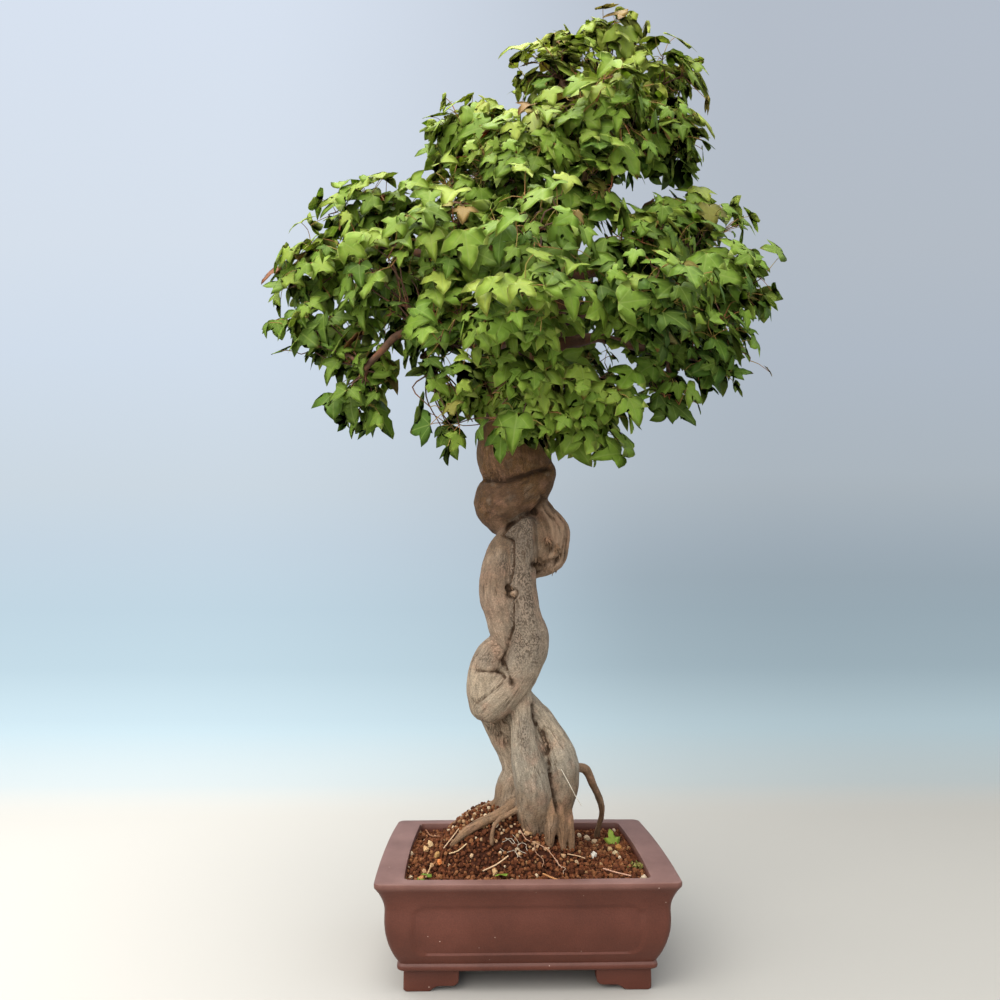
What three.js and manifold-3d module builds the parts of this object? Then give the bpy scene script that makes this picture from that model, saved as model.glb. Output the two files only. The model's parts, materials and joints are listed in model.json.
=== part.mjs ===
// A trident maple bonsai in an unglazed clay pot.
// Millimetres, +Z up, +X to the right of the front view, +Y to the back.
// The origin is on the ground under the middle of the pot.

import * as THREE from 'three';
import { mergeVertices } from 'three/addons/utils/BufferGeometryUtils.js';
import Module from 'manifold-3d';

const wasm = await Module();
wasm.setup();

// Driving dimensions of the pot.
const potLength = 338;
const potDepth = 248;
const potHeight = 120;
const potCorner = 7;
const endBow = 4;
const sideBow = 1.5;
const footHeight = 22.5;
const floorTop = 34;
const footInset = 34;
const footLength = 60;
const footTread = 29;
const footThickness = 15;
const footLift = 5;
const drainSpacing = 140;
const drainRadius = 11;

// Driving dimensions of what is in the pot.
const gap = 0.3;
const gravelTop = 46;
const soilEdge = 111;
const moundHeight = 60;
const moundCentre = { x: -25, y: 4 };
const moundSpread = { x: 82, y: 60 };
const screenSize = 40;
const screenThickness = 1.2;
const clipWire = 0.8;
const anchorWire = 1.1;

const clay = new THREE.MeshStandardMaterial({ color: '#6b463d', roughness: 0.75 });
const bark = new THREE.MeshStandardMaterial({ color: '#84725c', roughness: 0.9 });
const twigBark = new THREE.MeshStandardMaterial({ color: '#6f5743', roughness: 0.85 });
const leaf = new THREE.MeshStandardMaterial({ color: '#5c7530', roughness: 0.55 });
const soilGrain = new THREE.MeshStandardMaterial({ color: '#5e3d28', roughness: 1 });
const grit = new THREE.MeshStandardMaterial({ color: '#a08a6c', roughness: 1 });
const screenPlastic = new THREE.MeshStandardMaterial({ color: '#2b2d2c', roughness: 0.6 });
const wire = new THREE.MeshStandardMaterial({ color: '#9a9690', roughness: 0.4, metalness: 1 });

// ---- Solids -------------------------------------------------------------

// The closed solid of a geometry, with its shared points merged.
function solidOf(geometry) {
  const plain = geometry.index ? geometry.toNonIndexed() : geometry.clone();
  plain.deleteAttribute('normal');
  plain.deleteAttribute('uv');
  const merged = mergeVertices(plain, 1e-4);
  const corners = merged.index.array;
  const kept = [];
  for (let i = 0; i < corners.length; i += 3) {
    const [a, b, c] = corners.slice(i, i + 3);
    if (a !== b && b !== c && c !== a) kept.push(a, b, c);
  }
  return new wasm.Manifold(new wasm.Mesh({
    numProp: 3,
    vertProperties: new Float32Array(merged.attributes.position.array),
    triVerts: new Uint32Array(kept),
  }));
}

function geometryOf(solid) {
  const mesh = solid.getMesh();
  const geometry = new THREE.BufferGeometry();
  const points = [];
  for (let i = 0; i < mesh.numVert; i += 1) {
    points.push(...mesh.vertProperties.slice(i * mesh.numProp, i * mesh.numProp + 3));
  }
  geometry.setAttribute('position', new THREE.Float32BufferAttribute(points, 3));
  geometry.setIndex([...mesh.triVerts]);
  geometry.computeVertexNormals();
  return geometry;
}

// The largest body of a solid: a cut can leave slivers beside it.
function largest(solid) {
  const bodies = solid.decompose();
  bodies.sort((a, b) => b.volume() - a.volume());
  return bodies[0];
}

function joined(solids) {
  return solids.reduce((sum, solid) => sum.add(solid));
}

const bonsai = new THREE.Group();

function addPiece(name, solid, material) {
  const mesh = new THREE.Mesh(geometryOf(solid), material);
  mesh.name = name;
  bonsai.add(mesh);
}

// A strand of wood or wire through stations [x, y, z, radius], with rounded ends.
function strand(stations, sides, rings, extra = 0) {
  const capRings = sides > 8 ? 2 : 1;
  const path = new THREE.CatmullRomCurve3(stations.map(([x, y, z]) => new THREE.Vector3(x, y, z)));
  const sizes = new THREE.CatmullRomCurve3(stations.map(([, , , r]) => new THREE.Vector3(r, 0, 0)));
  const frames = path.computeFrenetFrames(rings);
  const tube = new THREE.CapsuleGeometry(1, rings, capRings, sides, rings);
  const spots = tube.attributes.position;
  const spot = new THREE.Vector3();
  for (let i = 0; i < spots.count; i += 1) {
    spot.fromBufferAttribute(spots, i);
    const height = spot.y + rings / 2;
    const ring = Math.round(THREE.MathUtils.clamp(height, 0, rings));
    const beyond = height - THREE.MathUtils.clamp(height, 0, rings);
    const radius = sizes.getPoint(path.getUtoTmapping(ring / rings)).x + extra;
    const centre = path.getPointAt(ring / rings);
    centre.addScaledVector(frames.binormals[ring], spot.x * radius);
    centre.addScaledVector(frames.tangents[ring], beyond * radius);
    centre.addScaledVector(frames.normals[ring], spot.z * radius);
    spots.setXYZ(i, centre.x, centre.y, centre.z);
  }
  return solidOf(tube);
}

// ---- Pot ----------------------------------------------------------------

// A rounded rectangle whose sides bow out a little.
function potOutline(length, depth, corner) {
  const x = length / 2;
  const y = depth / 2;
  const outline = new THREE.Shape();
  outline.moveTo(-x + corner, -y);
  outline.quadraticCurveTo(0, -y - 2 * sideBow, x - corner, -y);
  outline.quadraticCurveTo(x, -y, x, -y + corner);
  outline.quadraticCurveTo(x + 2 * endBow, 0, x, y - corner);
  outline.quadraticCurveTo(x, y, x - corner, y);
  outline.quadraticCurveTo(0, y + 2 * sideBow, -x + corner, y);
  outline.quadraticCurveTo(-x, y, -x, y - corner);
  outline.quadraticCurveTo(-x - 2 * endBow, 0, -x, -y + corner);
  outline.quadraticCurveTo(-x, -y, -x + corner, -y);
  return outline;
}

// A solid whose outline follows levels [height, half length, half depth], lowest first.
function lofted(levels, corner) {
  const steps = levels.length - 1;
  const length = potLength - 2 * endBow;
  const depth = potDepth - 2 * sideBow;
  const block = new THREE.ExtrudeGeometry(potOutline(length, depth, corner), {
    depth: steps, steps, bevelEnabled: false, curveSegments: 3,
  });
  const spots = block.attributes.position;
  for (let i = 0; i < spots.count; i += 1) {
    const [height, halfLength, halfDepth] = levels[Math.round(spots.getZ(i))];
    const x = spots.getX(i) * halfLength / (potLength / 2);
    const y = spots.getY(i) * halfDepth / (potDepth / 2);
    spots.setXYZ(i, x, y, height);
  }
  return solidOf(block);
}

// Outside of the pot as [height, inset from the rim]: plinth, belly, cove and rim.
const potProfile = [
  [footHeight, 29], [25, 24.8], [29, 24.8], [31.5, 26], [42, 19.5], [54, 14.5], [70, 11],
  [88, 11.2], [99, 9.4], [107, 5], [113, 1.2], [115, 0], [potHeight, 0],
];

// Inside of the pot as [height, half length, half depth].
const cavityProfile = [
  [floorTop, 126, 89], [60, 134, 97.5], [98, 137.5, 103], [112, 139, 105.5],
  [potHeight, 140, 107.5], [potHeight + 80, 140, 107.5],
];

function cavity(shrink, top) {
  const levels = cavityProfile.map(([height, x, y]) => [height, x - shrink, y - shrink]);
  levels[0][0] += shrink;
  return lofted(levels, potCorner).trimByPlane([0, 0, -1], -top);
}

// One arm of a cloud foot: a flat tread, a step up and a rounded toe.
function footArm() {
  const side = new THREE.Shape();
  side.moveTo(0, footHeight + 1);
  side.lineTo(0, 3);
  side.quadraticCurveTo(0, 0, 3, 0);
  side.lineTo(footTread, 0);
  side.quadraticCurveTo(footTread + 4, footLift, footTread + 9, footLift);
  side.lineTo(footLength - 6, footLift);
  side.quadraticCurveTo(footLength, footLift, footLength, footLift + 6);
  side.lineTo(footLength, footHeight + 1);
  const arm = new THREE.ExtrudeGeometry(side, {
    depth: footThickness, bevelEnabled: false, curveSegments: 4,
  });
  return arm.rotateX(Math.PI / 2).translate(0, footThickness, 0);
}

function corner(xSide, ySide) {
  const x = potLength / 2 - footInset;
  const y = potDepth / 2 - footInset;
  const along = solidOf(footArm());
  const across = along.mirror([-1, 1, 0]);
  const foot = along.add(across).translate([-x, -y, 0]);
  const leftToRight = xSide > 0 ? foot.mirror([1, 0, 0]) : foot;
  return ySide > 0 ? leftToRight.mirror([0, 1, 0]) : leftToRight;
}

function drainHole(side) {
  const hole = new THREE.CylinderGeometry(drainRadius, drainRadius, 20, 16);
  hole.rotateX(Math.PI / 2).translate(side * drainSpacing / 2, 0, (footHeight + floorTop) / 2);
  return solidOf(hole);
}

function pot() {
  const outside = lofted(potProfile.map(([height, inset]) => [
    height, potLength / 2 - inset, potDepth / 2 - inset,
  ]), potCorner);
  const feet = [[-1, -1], [1, -1], [-1, 1], [1, 1]].map(([x, y]) => corner(x, y));
  return joined([outside, ...feet])
    .subtract(cavity(0, potHeight + 80))
    .subtract(drainHole(-1))
    .subtract(drainHole(1));
}

// ---- Trunk --------------------------------------------------------------

// The leader from the first fork to the tip, as [x, y, z, radius].
const leader = [
  [0, 8, 560, 36], [-9, 0, 596, 47], [-10, 0, 627, 47], [-4, 3, 669, 42], [15, 6, 738, 34],
  [42, 8, 838, 26], [69, 10, 948, 19], [91, 10, 1030, 14], [113, 10, 1122, 9], [124, 8, 1180, 5],
];

// The twisted strands under it, each grown into the next.
const strands = {
  collar: [[16, 2, 588, 30], [2, -8, 562, 33], [-20, -8, 548, 36], [-32, 2, 536, 32], [-30, 14, 508, 22]],
  shoulder: [[20, 8, 570, 20], [32, 2, 548, 15], [45, -2, 522, 15], [45, -4, 496, 17], [34, 2, 472, 17],
    [14, 8, 452, 16]],
  pad: [[20, -2, 522, 14], [22, -8, 497, 17], [20, -4, 470, 14]],
  core: [[2, 10, 560, 30], [-2, 12, 510, 26], [-4, 10, 460, 20], [0, 8, 400, 20], [-6, 6, 350, 18],
    [-10, 6, 308, 19], [6, 6, 250, 24], [16, 4, 190, 30], [12, 0, 140, 30]],
  front: [[-2, -20, 520, 14], [1, -26, 480, 15], [0, -28, 438, 16], [2, -26, 407, 18],
    [9, -18, 370, 23], [0, -20, 337, 22], [-23, -24, 306, 20], [-42, -16, 287, 18]],
  left: [[-12, -10, 520, 15], [-28, -12, 480, 19], [-33, -12, 436, 22], [-28, -10, 401, 20],
    [-18, -8, 364, 15]],
  lobe: [[-18, -2, 374, 17], [-40, -4, 350, 21], [-46, -6, 316, 23], [-44, -4, 288, 21]],
  shin: [[-2, -16, 310, 12], [-1, -26, 268, 14], [4, -30, 229, 18], [12, -28, 194, 23],
    [11, -30, 166, 20], [10, -28, 140, 14]],
  calf: [[-4, 0, 318, 12], [22, -3, 270, 19], [41, -10, 228, 24], [47, -12, 200, 21],
    [42, -14, 170, 16], [38, -12, 142, 12]],
  heel: [[-38, 4, 282, 17], [-22, 8, 250, 18], [-7, 8, 212, 18], [-14, 6, 188, 19],
    [-16, 4, 160, 21], [-16, 0, 136, 20]],
};

// Surface roots, thick at the trunk and thin where they enter the soil.
const roots = {
  left: [[-22, -8, 166, 11], [-47, -22, 156, 8.5], [-68, -34, 149, 7], [-88, -46, 141, 6], [-104, -56, 128, 4]],
  leftThin: [[-4, -34, 168, 4], [-16, -43, 158, 3.5], [-29, -46, 152, 3], [-36, -49, 140, 2.5]],
  leftBack: [[-30, 4, 170, 7], [-50, 10, 161, 5], [-68, 14, 153, 4], [-86, 18, 141, 3], [-98, 22, 126, 3]],
  frontNear: [[28, -36, 186, 7], [31, -42, 168, 8], [29, -48, 148, 7], [26, -51, 126, 5]],
  frontMid: [[41, -26, 184, 6], [44, -34, 164, 6], [46, -40, 146, 5.5], [46, -43, 126, 4]],
  frontFar: [[48, -16, 190, 6], [54, -24, 166, 5.5], [58, -30, 146, 5], [59, -33, 124, 4]],
  arch: [[56, 0, 207, 8], [68, 4, 213, 6], [80, 12, 208, 6], [90, 24, 187, 5.5], [99, 38, 168, 5],
    [104, 50, 148, 4.5], [101, 62, 126, 4], [99, 67, 112, 3.5]],
  back: [[10, 20, 176, 16], [4, 44, 160, 11], [-6, 64, 140, 7], [-12, 78, 120, 5]],
  backRight: [[34, 10, 172, 14], [52, 28, 150, 9], [68, 42, 134, 6], [80, 52, 114, 4]],
};

const barkSides = 10;
const rootSides = 6;

function trunk(extra = 0) {
  const wood = Object.values(strands).map((stations) => strand(stations, barkSides, 7, extra));
  const feeders = Object.values(roots).map((stations) => strand(stations, rootSides, 6, extra));
  return joined([strand(leader, barkSides, 10, extra), ...wood, ...feeders]);
}

// ---- Branches -----------------------------------------------------------

const branches = {
  left_main: [[24, 4, 762, 13], [-30, -20, 792, 9], [-74, -40, 788, 7], [-130, -60, 762, 6],
    [-160, -70, 742, 5], [-198, -62, 702, 4]],
  left_low: [[10, 2, 706, 12], [-50, -30, 742, 7], [-93, -44, 746, 6], [-128, -52, 722, 4]],
  left_back: [[24, 10, 748, 12], [-70, 60, 800, 7], [-140, 85, 860, 5], [-190, 92, 890, 4]],
  left_high: [[44, 8, 840, 12], [-30, -10, 872, 8], [-130, -6, 880, 6], [-212, 6, 905, 4]],
  right_low: [[22, 4, 748, 12], [100, -24, 760, 7], [170, -34, 735, 5], [220, -34, 730, 4]],
  right_main: [[48, 8, 852, 13], [130, -4, 868, 8], [210, -10, 862, 6], [280, -16, 840, 4]],
  right_back: [[34, 10, 800, 12], [110, 60, 838, 7], [190, 92, 860, 5], [246, 100, 872, 4]],
  front_low: [[6, -6, 690, 12], [0, -70, 712, 7], [-6, -130, 728, 5], [-8, -160, 735, 4]],
  front_right: [[30, -2, 780, 12], [80, -70, 778, 7], [124, -120, 768, 5], [146, -142, 764, 4]],
  front_high: [[46, 2, 852, 11], [30, -60, 856, 7], [16, -110, 846, 5], [9, -142, 842, 4]],
  back: [[38, 16, 820, 12], [42, 80, 872, 8], [44, 130, 916, 6], [46, 156, 934, 4]],
  back_low: [[16, 14, 724, 11], [40, 60, 730, 6], [58, 86, 730, 4]],
  shoulder: [[64, 8, 930, 11], [20, -4, 986, 7], [-30, -2, 1040, 5], [-66, 0, 1062, 4]],
  shoulder_back: [[70, 12, 958, 10], [30, 50, 1020, 6], [-4, 78, 1060, 4]],
  crown_left: [[96, 10, 1050, 8], [72, -8, 1096, 6], [56, -18, 1130, 4]],
  crown_right: [[90, 10, 1034, 9], [140, 4, 1086, 6], [196, 0, 1130, 4]],
  crown_back: [[92, 12, 1040, 8], [112, 56, 1110, 6], [134, 86, 1160, 4]],
};

function branch(stations, extra = 0) {
  return strand(stations, 6, 5, extra);
}

// ---- Foliage ------------------------------------------------------------

// Each pad of leaves as its centre and its half sizes along X, Y and Z.
const pads = {
  crown_top: [[127, 0, 1194], [70, 64, 58]],
  crown_left: [[54, -16, 1135], [68, 64, 58]],
  crown_right: [[202, 0, 1138], [67, 63, 61]],
  crown_tail: [[210, -15, 1050], [52, 56, 58]],
  crown_front: [[106, -84, 1036], [82, 66, 68]],
  crown_back: [[130, 92, 1120], [96, 78, 90]],
  centre_high: [[84, -70, 930], [74, 64, 58]],
  shoulder_left: [[-70, 0, 1065], [64, 60, 52]],
  shoulder_front: [[-2, -80, 975], [76, 66, 66]],
  shoulder_back: [[-14, 94, 1040], [88, 76, 82]],
  shoulder_low: [[-70, -40, 940], [70, 62, 54]],
  left_top: [[-208, 0, 934], [78, 68, 49]],
  left_outer: [[-279, 14, 855], [65, 66, 66]],
  left_front: [[-180, -70, 826], [74, 66, 58]],
  left_low: [[-256, -4, 772], [74, 64, 46]],
  left_hang: [[-208, -30, 692], [47, 48, 64]],
  left_back: [[-176, 98, 872], [96, 78, 82]],
  left_inner: [[-104, -92, 846], [68, 66, 62]],
  centre_front: [[9, -152, 840], [77, 70, 64]],
  centre_low: [[-9, -168, 737], [77, 68, 58]],
  centre_left: [[-88, -90, 737], [70, 64, 58]],
  centre_back: [[30, 158, 905], [104, 75, 98]],
  right_inner: [[148, -70, 868], [72, 64, 58]],
  right_top: [[236, 10, 930], [84, 70, 52]],
  right_outer: [[284, -18, 836], [63, 66, 68]],
  right_front: [[146, -150, 764], [77, 66, 56]],
  right_low: [[232, -30, 748], [80, 68, 60]],
  right_back: [[222, 108, 852], [96, 78, 88]],
  right_hang: [[186, -40, 674], [46, 50, 50]],
  low_left: [[-85, -70, 652], [52, 54, 58]],
  low_front: [[-4, -112, 650], [64, 56, 54]],
  low_right: [[82, -80, 652], [60, 60, 66]],
  low_back: [[46, 104, 742], [98, 78, 76]],
};

// A lumpy ball: the leaves of one pad and the fine twigs among them.
function pad([centre, sizes], extra = 0) {
  const ball = new THREE.IcosahedronGeometry(1, 1);
  const spots = ball.attributes.position;
  const spot = new THREE.Vector3();
  for (let i = 0; i < spots.count; i += 1) {
    spot.fromBufferAttribute(spots, i).normalize();
    const phase = centre[0] / 40 + centre[2] / 55;
    const lump = 0.96 + 0.04 * Math.sin(4 * spot.x + 3 * spot.z + phase) * Math.cos(5 * spot.y + phase);
    spots.setXYZ(
      i,
      centre[0] + spot.x * (sizes[0] * lump + extra),
      centre[1] + spot.y * (sizes[1] * lump + extra),
      centre[2] + spot.z * (sizes[2] * lump + extra),
    );
  }
  return solidOf(ball);
}

// ---- Soil and drainage --------------------------------------------------

function soilHeight(x, y) {
  const across = Math.abs(x - moundCentre.x) / moundSpread.x;
  const deep = Math.abs(y - moundCentre.y) / moundSpread.y;
  return soilEdge + moundHeight * Math.exp(-(across ** 3) - deep ** 3);
}

function soilBlock() {
  const block = new THREE.BoxGeometry(potLength, potDepth, 1, 14, 10, 1);
  const spots = block.attributes.position;
  for (let i = 0; i < spots.count; i += 1) {
    const top = soilHeight(spots.getX(i), spots.getY(i));
    spots.setZ(i, spots.getZ(i) > 0 ? top : gravelTop + gap);
  }
  return solidOf(block);
}

function screen(side, extra = 0) {
  const size = screenSize + 2 * extra;
  const sheet = new THREE.BoxGeometry(size, size, screenThickness + 2 * extra);
  return solidOf(sheet.translate(side * drainSpacing / 2, 0, floorTop + gap + screenThickness / 2));
}

// A wire staple over each screen, its legs bent outwards under the pot.
function clip(side, extra = 0) {
  const low = footHeight - clipWire - gap;
  const high = floorTop + screenThickness + clipWire + 2 * gap;
  const half = [[0, high], [5, high], [7, high - 1.5], [7.2, high - 4], [7.2, low + 3], [8.6, low], [16, low]];
  const right = half.map(([x, z]) => [side * drainSpacing / 2 + x, 0, z, clipWire]);
  const left = half.slice(1).reverse();
  const whole = [...left.map(([x, z]) => [side * drainSpacing / 2 - x, 0, z, clipWire]), ...right];
  return strand(whole, 5, 18, extra);
}

// The wire that ties the roots down: up through both drain holes to the trunk.
const anchorRoute = [
  [-58, 6, 128], [-66, 6, 90], [-70, 6, 50], [-70, 5.5, 24], [-62, 5.5, 20.6], [0, 5.5, 20.6],
  [62, 5.5, 20.6], [70, 5.5, 24], [70, 6, 50], [68, 8, 90], [60, 10, 118],
];

function anchor(extra = 0) {
  return strand(anchorRoute.map((point) => [...point, anchorWire]), 5, 26, extra);
}

// ---- The whole bonsai ---------------------------------------------------

addPiece('pot', pot(), clay);

const wiring = [clip(-1, gap), clip(1, gap), anchor(gap)];
const hardware = joined([...wiring, screen(-1, gap), screen(1, gap)]);
addPiece('drainage_screen_left', screen(-1).subtract(joined(wiring)), screenPlastic);
addPiece('drainage_screen_right', screen(1).subtract(joined(wiring)), screenPlastic);
addPiece('screen_clip_left', clip(-1), wire);
addPiece('screen_clip_right', clip(1), wire);
addPiece('anchor_wire', anchor(), wire);
addPiece('drainage_gravel', largest(cavity(gap, gravelTop).subtract(hardware)), grit);

const wood = trunk();
const woodClearance = trunk(gap);
addPiece('trunk', wood, bark);
addPiece('soil', largest(
  soilBlock().intersect(cavity(gap, potHeight + 80)).subtract(woodClearance).subtract(hardware),
), soilGrain);

let taken = woodClearance;
for (const [name, stations] of Object.entries(branches)) {
  addPiece(`branch_${name}`, largest(branch(stations).subtract(taken)), twigBark);
  taken = taken.add(branch(stations, gap));
}
for (const [name, place] of Object.entries(pads)) {
  addPiece(`foliage_${name}`, largest(pad(place).subtract(taken)), leaf);
  taken = taken.add(pad(place, gap));
}

export default bonsai;
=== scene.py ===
import json
import math
from functools import partial

import bmesh
import bpy
import numpy as np
from mathutils import Matrix, Vector, noise

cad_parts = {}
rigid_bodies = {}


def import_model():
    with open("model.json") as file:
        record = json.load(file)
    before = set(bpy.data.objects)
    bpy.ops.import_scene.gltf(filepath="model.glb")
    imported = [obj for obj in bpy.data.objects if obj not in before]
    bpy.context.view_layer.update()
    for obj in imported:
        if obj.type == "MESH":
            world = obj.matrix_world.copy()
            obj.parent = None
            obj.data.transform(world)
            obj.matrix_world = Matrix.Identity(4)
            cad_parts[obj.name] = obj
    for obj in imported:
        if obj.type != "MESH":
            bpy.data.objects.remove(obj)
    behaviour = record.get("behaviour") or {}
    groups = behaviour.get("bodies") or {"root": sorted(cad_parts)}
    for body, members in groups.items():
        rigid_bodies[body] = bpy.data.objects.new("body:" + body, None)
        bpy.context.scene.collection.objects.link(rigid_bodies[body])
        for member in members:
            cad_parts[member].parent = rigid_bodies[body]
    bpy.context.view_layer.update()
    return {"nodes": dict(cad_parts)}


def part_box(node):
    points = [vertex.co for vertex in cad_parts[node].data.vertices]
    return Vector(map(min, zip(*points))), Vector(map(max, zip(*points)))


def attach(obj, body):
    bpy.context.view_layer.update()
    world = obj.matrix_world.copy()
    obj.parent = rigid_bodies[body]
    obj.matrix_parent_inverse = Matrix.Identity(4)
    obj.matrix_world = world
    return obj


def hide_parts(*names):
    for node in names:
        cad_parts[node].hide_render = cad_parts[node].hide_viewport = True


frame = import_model()
nodes = frame["nodes"]
mm = 0.001
print("frame loaded:", len(nodes), "nodes")


# small helpers

def clearSelection():
    if bpy.context.object and bpy.context.object.mode != "OBJECT":
        bpy.ops.object.mode_set(mode="OBJECT")
    for thing in bpy.context.scene.objects:
        thing.select_set(False)


def pick(*things):
    clearSelection()
    for thing in things:
        thing.select_set(True)
    bpy.context.view_layer.objects.active = things[0]


def editAll(thing, mode="VERT"):
    pick(thing)
    bpy.ops.object.mode_set(mode="EDIT")
    bpy.ops.mesh.select_mode(type=mode)
    bpy.ops.mesh.select_all(action="SELECT")


def choose(thing, kind, test):  # selects the edges or faces whose middle and direction pass the test
    mesh = bmesh.from_edit_mesh(thing.data)
    bpy.ops.mesh.select_all(action="DESELECT")
    for part in getattr(mesh, kind):
        if kind == "edges":
            a, b = part.verts[0].co, part.verts[1].co
            part.select_set(bool(test((a + b) / 2, b - a)))
        else:
            part.select_set(bool(test(part.calc_center_median(), part.normal)))
    bmesh.update_edit_mesh(thing.data)


def outwards(thing):
    editAll(thing)
    bpy.ops.mesh.normals_make_consistent(inside=False)
    bpy.ops.object.mode_set(mode="OBJECT")


def applyModifier(thing, kind, **settings):
    pick(thing)
    modifier = thing.modifiers.new(kind.lower(), kind)
    for key, value in settings.items():
        setattr(modifier, key, value)
    bpy.ops.object.modifier_apply(modifier=modifier.name)


def joinAll(things):
    pick(*things)
    if len(things) > 1:
        bpy.ops.object.join()
    return bpy.context.view_layer.objects.active


def getPoints(thing, field="co"):
    flat = np.zeros(len(thing.data.vertices) * 3)
    thing.data.vertices.foreach_get(field, flat)
    return flat.reshape(-1, 3)


def setPoints(thing, points):
    thing.data.vertices.foreach_set("co", np.asarray(points, float).ravel())
    thing.data.update()


def getNormals(thing):
    return getPoints(thing, "normal")


def setAttribute(thing, name, values):
    values = np.asarray(values, float)
    kind, field = ("FLOAT", "value") if values.ndim == 1 else ("FLOAT_VECTOR", "vector")
    layer = thing.data.attributes.get(name) or thing.data.attributes.new(name, kind, "POINT")
    layer.data.foreach_set(field, values.ravel())


def noiseAt(points, size, octaves=3):  # fractal noise at each point, size is the width of its largest lumps
    return np.array([noise.fractal(Vector(p / size), 0.9, 2.1, octaves) for p in points])


def meshOfCopies(name, copies, smooth=True):  # joins small shapes, each given as points in mm and faces
    mesh = bpy.data.meshes.new(name)
    starts = np.cumsum([0] + [len(points) for points, faces in copies]).tolist()
    corners = []
    for (points, faces), start in zip(copies, starts):
        corners += [tuple(v + start for v in face) for face in faces]
    mesh.from_pydata([tuple(p) for p in np.vstack([points for points, faces in copies]) * mm], [], corners)
    mesh.polygons.foreach_set("use_smooth", [smooth] * len(mesh.polygons))
    thing = bpy.data.objects.new(name, mesh)
    bpy.context.scene.collection.objects.link(thing)
    return thing


def finishPiece(thing, name, material, standsFor=()):
    pick(thing)
    bpy.ops.object.transform_apply(location=True, rotation=True, scale=True)
    thing.name = name
    thing.data.name = name
    thing.data.materials.clear()
    thing.data.materials.append(material)
    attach(thing, "root")
    if standsFor:
        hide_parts(*standsFor)
    return thing


# material helpers

def toLinear(hexColour):
    parts = [int(hexColour[at:at + 2], 16) / 255 for at in (1, 3, 5)]
    return [p / 12.92 if p <= 0.04045 else ((p + 0.055) / 1.055) ** 2.4 for p in parts] + [1.0]


# a link from a node takes its first output, or its mixed colour
def addNode(tree, kind, settings={}, links={}):
    node = tree.nodes.new("ShaderNode" + kind)
    if kind == "Mix":
        node.data_type = "RGBA"
    for key, value in settings.items():
        if isinstance(value, str) and value.startswith("#"):
            value = toLinear(value)
        if key == "stops":
            ramp = node.color_ramp.elements
            while len(ramp) < len(value):
                ramp.new(0.5)
            for element, (place, colour) in zip(ramp, value):
                element.position = place
                element.color = toLinear(colour)
        elif key == "range":
            for end, number in zip(("From Min", "From Max", "To Min", "To Max"), value):
                node.inputs[end].default_value = number
        elif isinstance(key, str) and key not in node.inputs:
            setattr(node, key, value)
        else:
            node.inputs[key].default_value = value
    for key, source in links.items():
        if not isinstance(source, bpy.types.NodeSocket):
            source = source.outputs[2 if source.bl_idname == "ShaderNodeMix" else 0]
        tree.links.new(source, node.inputs[key])
    return node


def startMaterial(name):  # the material, what adds a node to it, and the place on the piece
    material = bpy.data.materials.new(name)
    material.use_nodes = True
    material.node_tree.nodes.clear()
    add = partial(addNode, material.node_tree)
    return material, add, add("TexCoord").outputs["Object"]


# camera

cameraSettings = {"place": (-0.0468, -0.9757, 0.4126), "turn": (97.9, 0.0, -1.08), "lens": 27.36}
bpy.ops.object.camera_add(location=cameraSettings["place"],
    rotation=[math.radians(angle) for angle in cameraSettings["turn"]])
camera = bpy.context.object
camera.data.lens = cameraSettings["lens"]
bpy.context.scene.camera = camera

# unglazed red clay, slab built and fired hard: dull, grainy, with pale grit in it

claySettings = {"body": "#562d21", "bodyDark": "#4e281d", "bodyPale": "#603428", "grit": "#c0a595",
                "bloomAndTopLight": "#a3867e", "roughness": 0.5}


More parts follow.
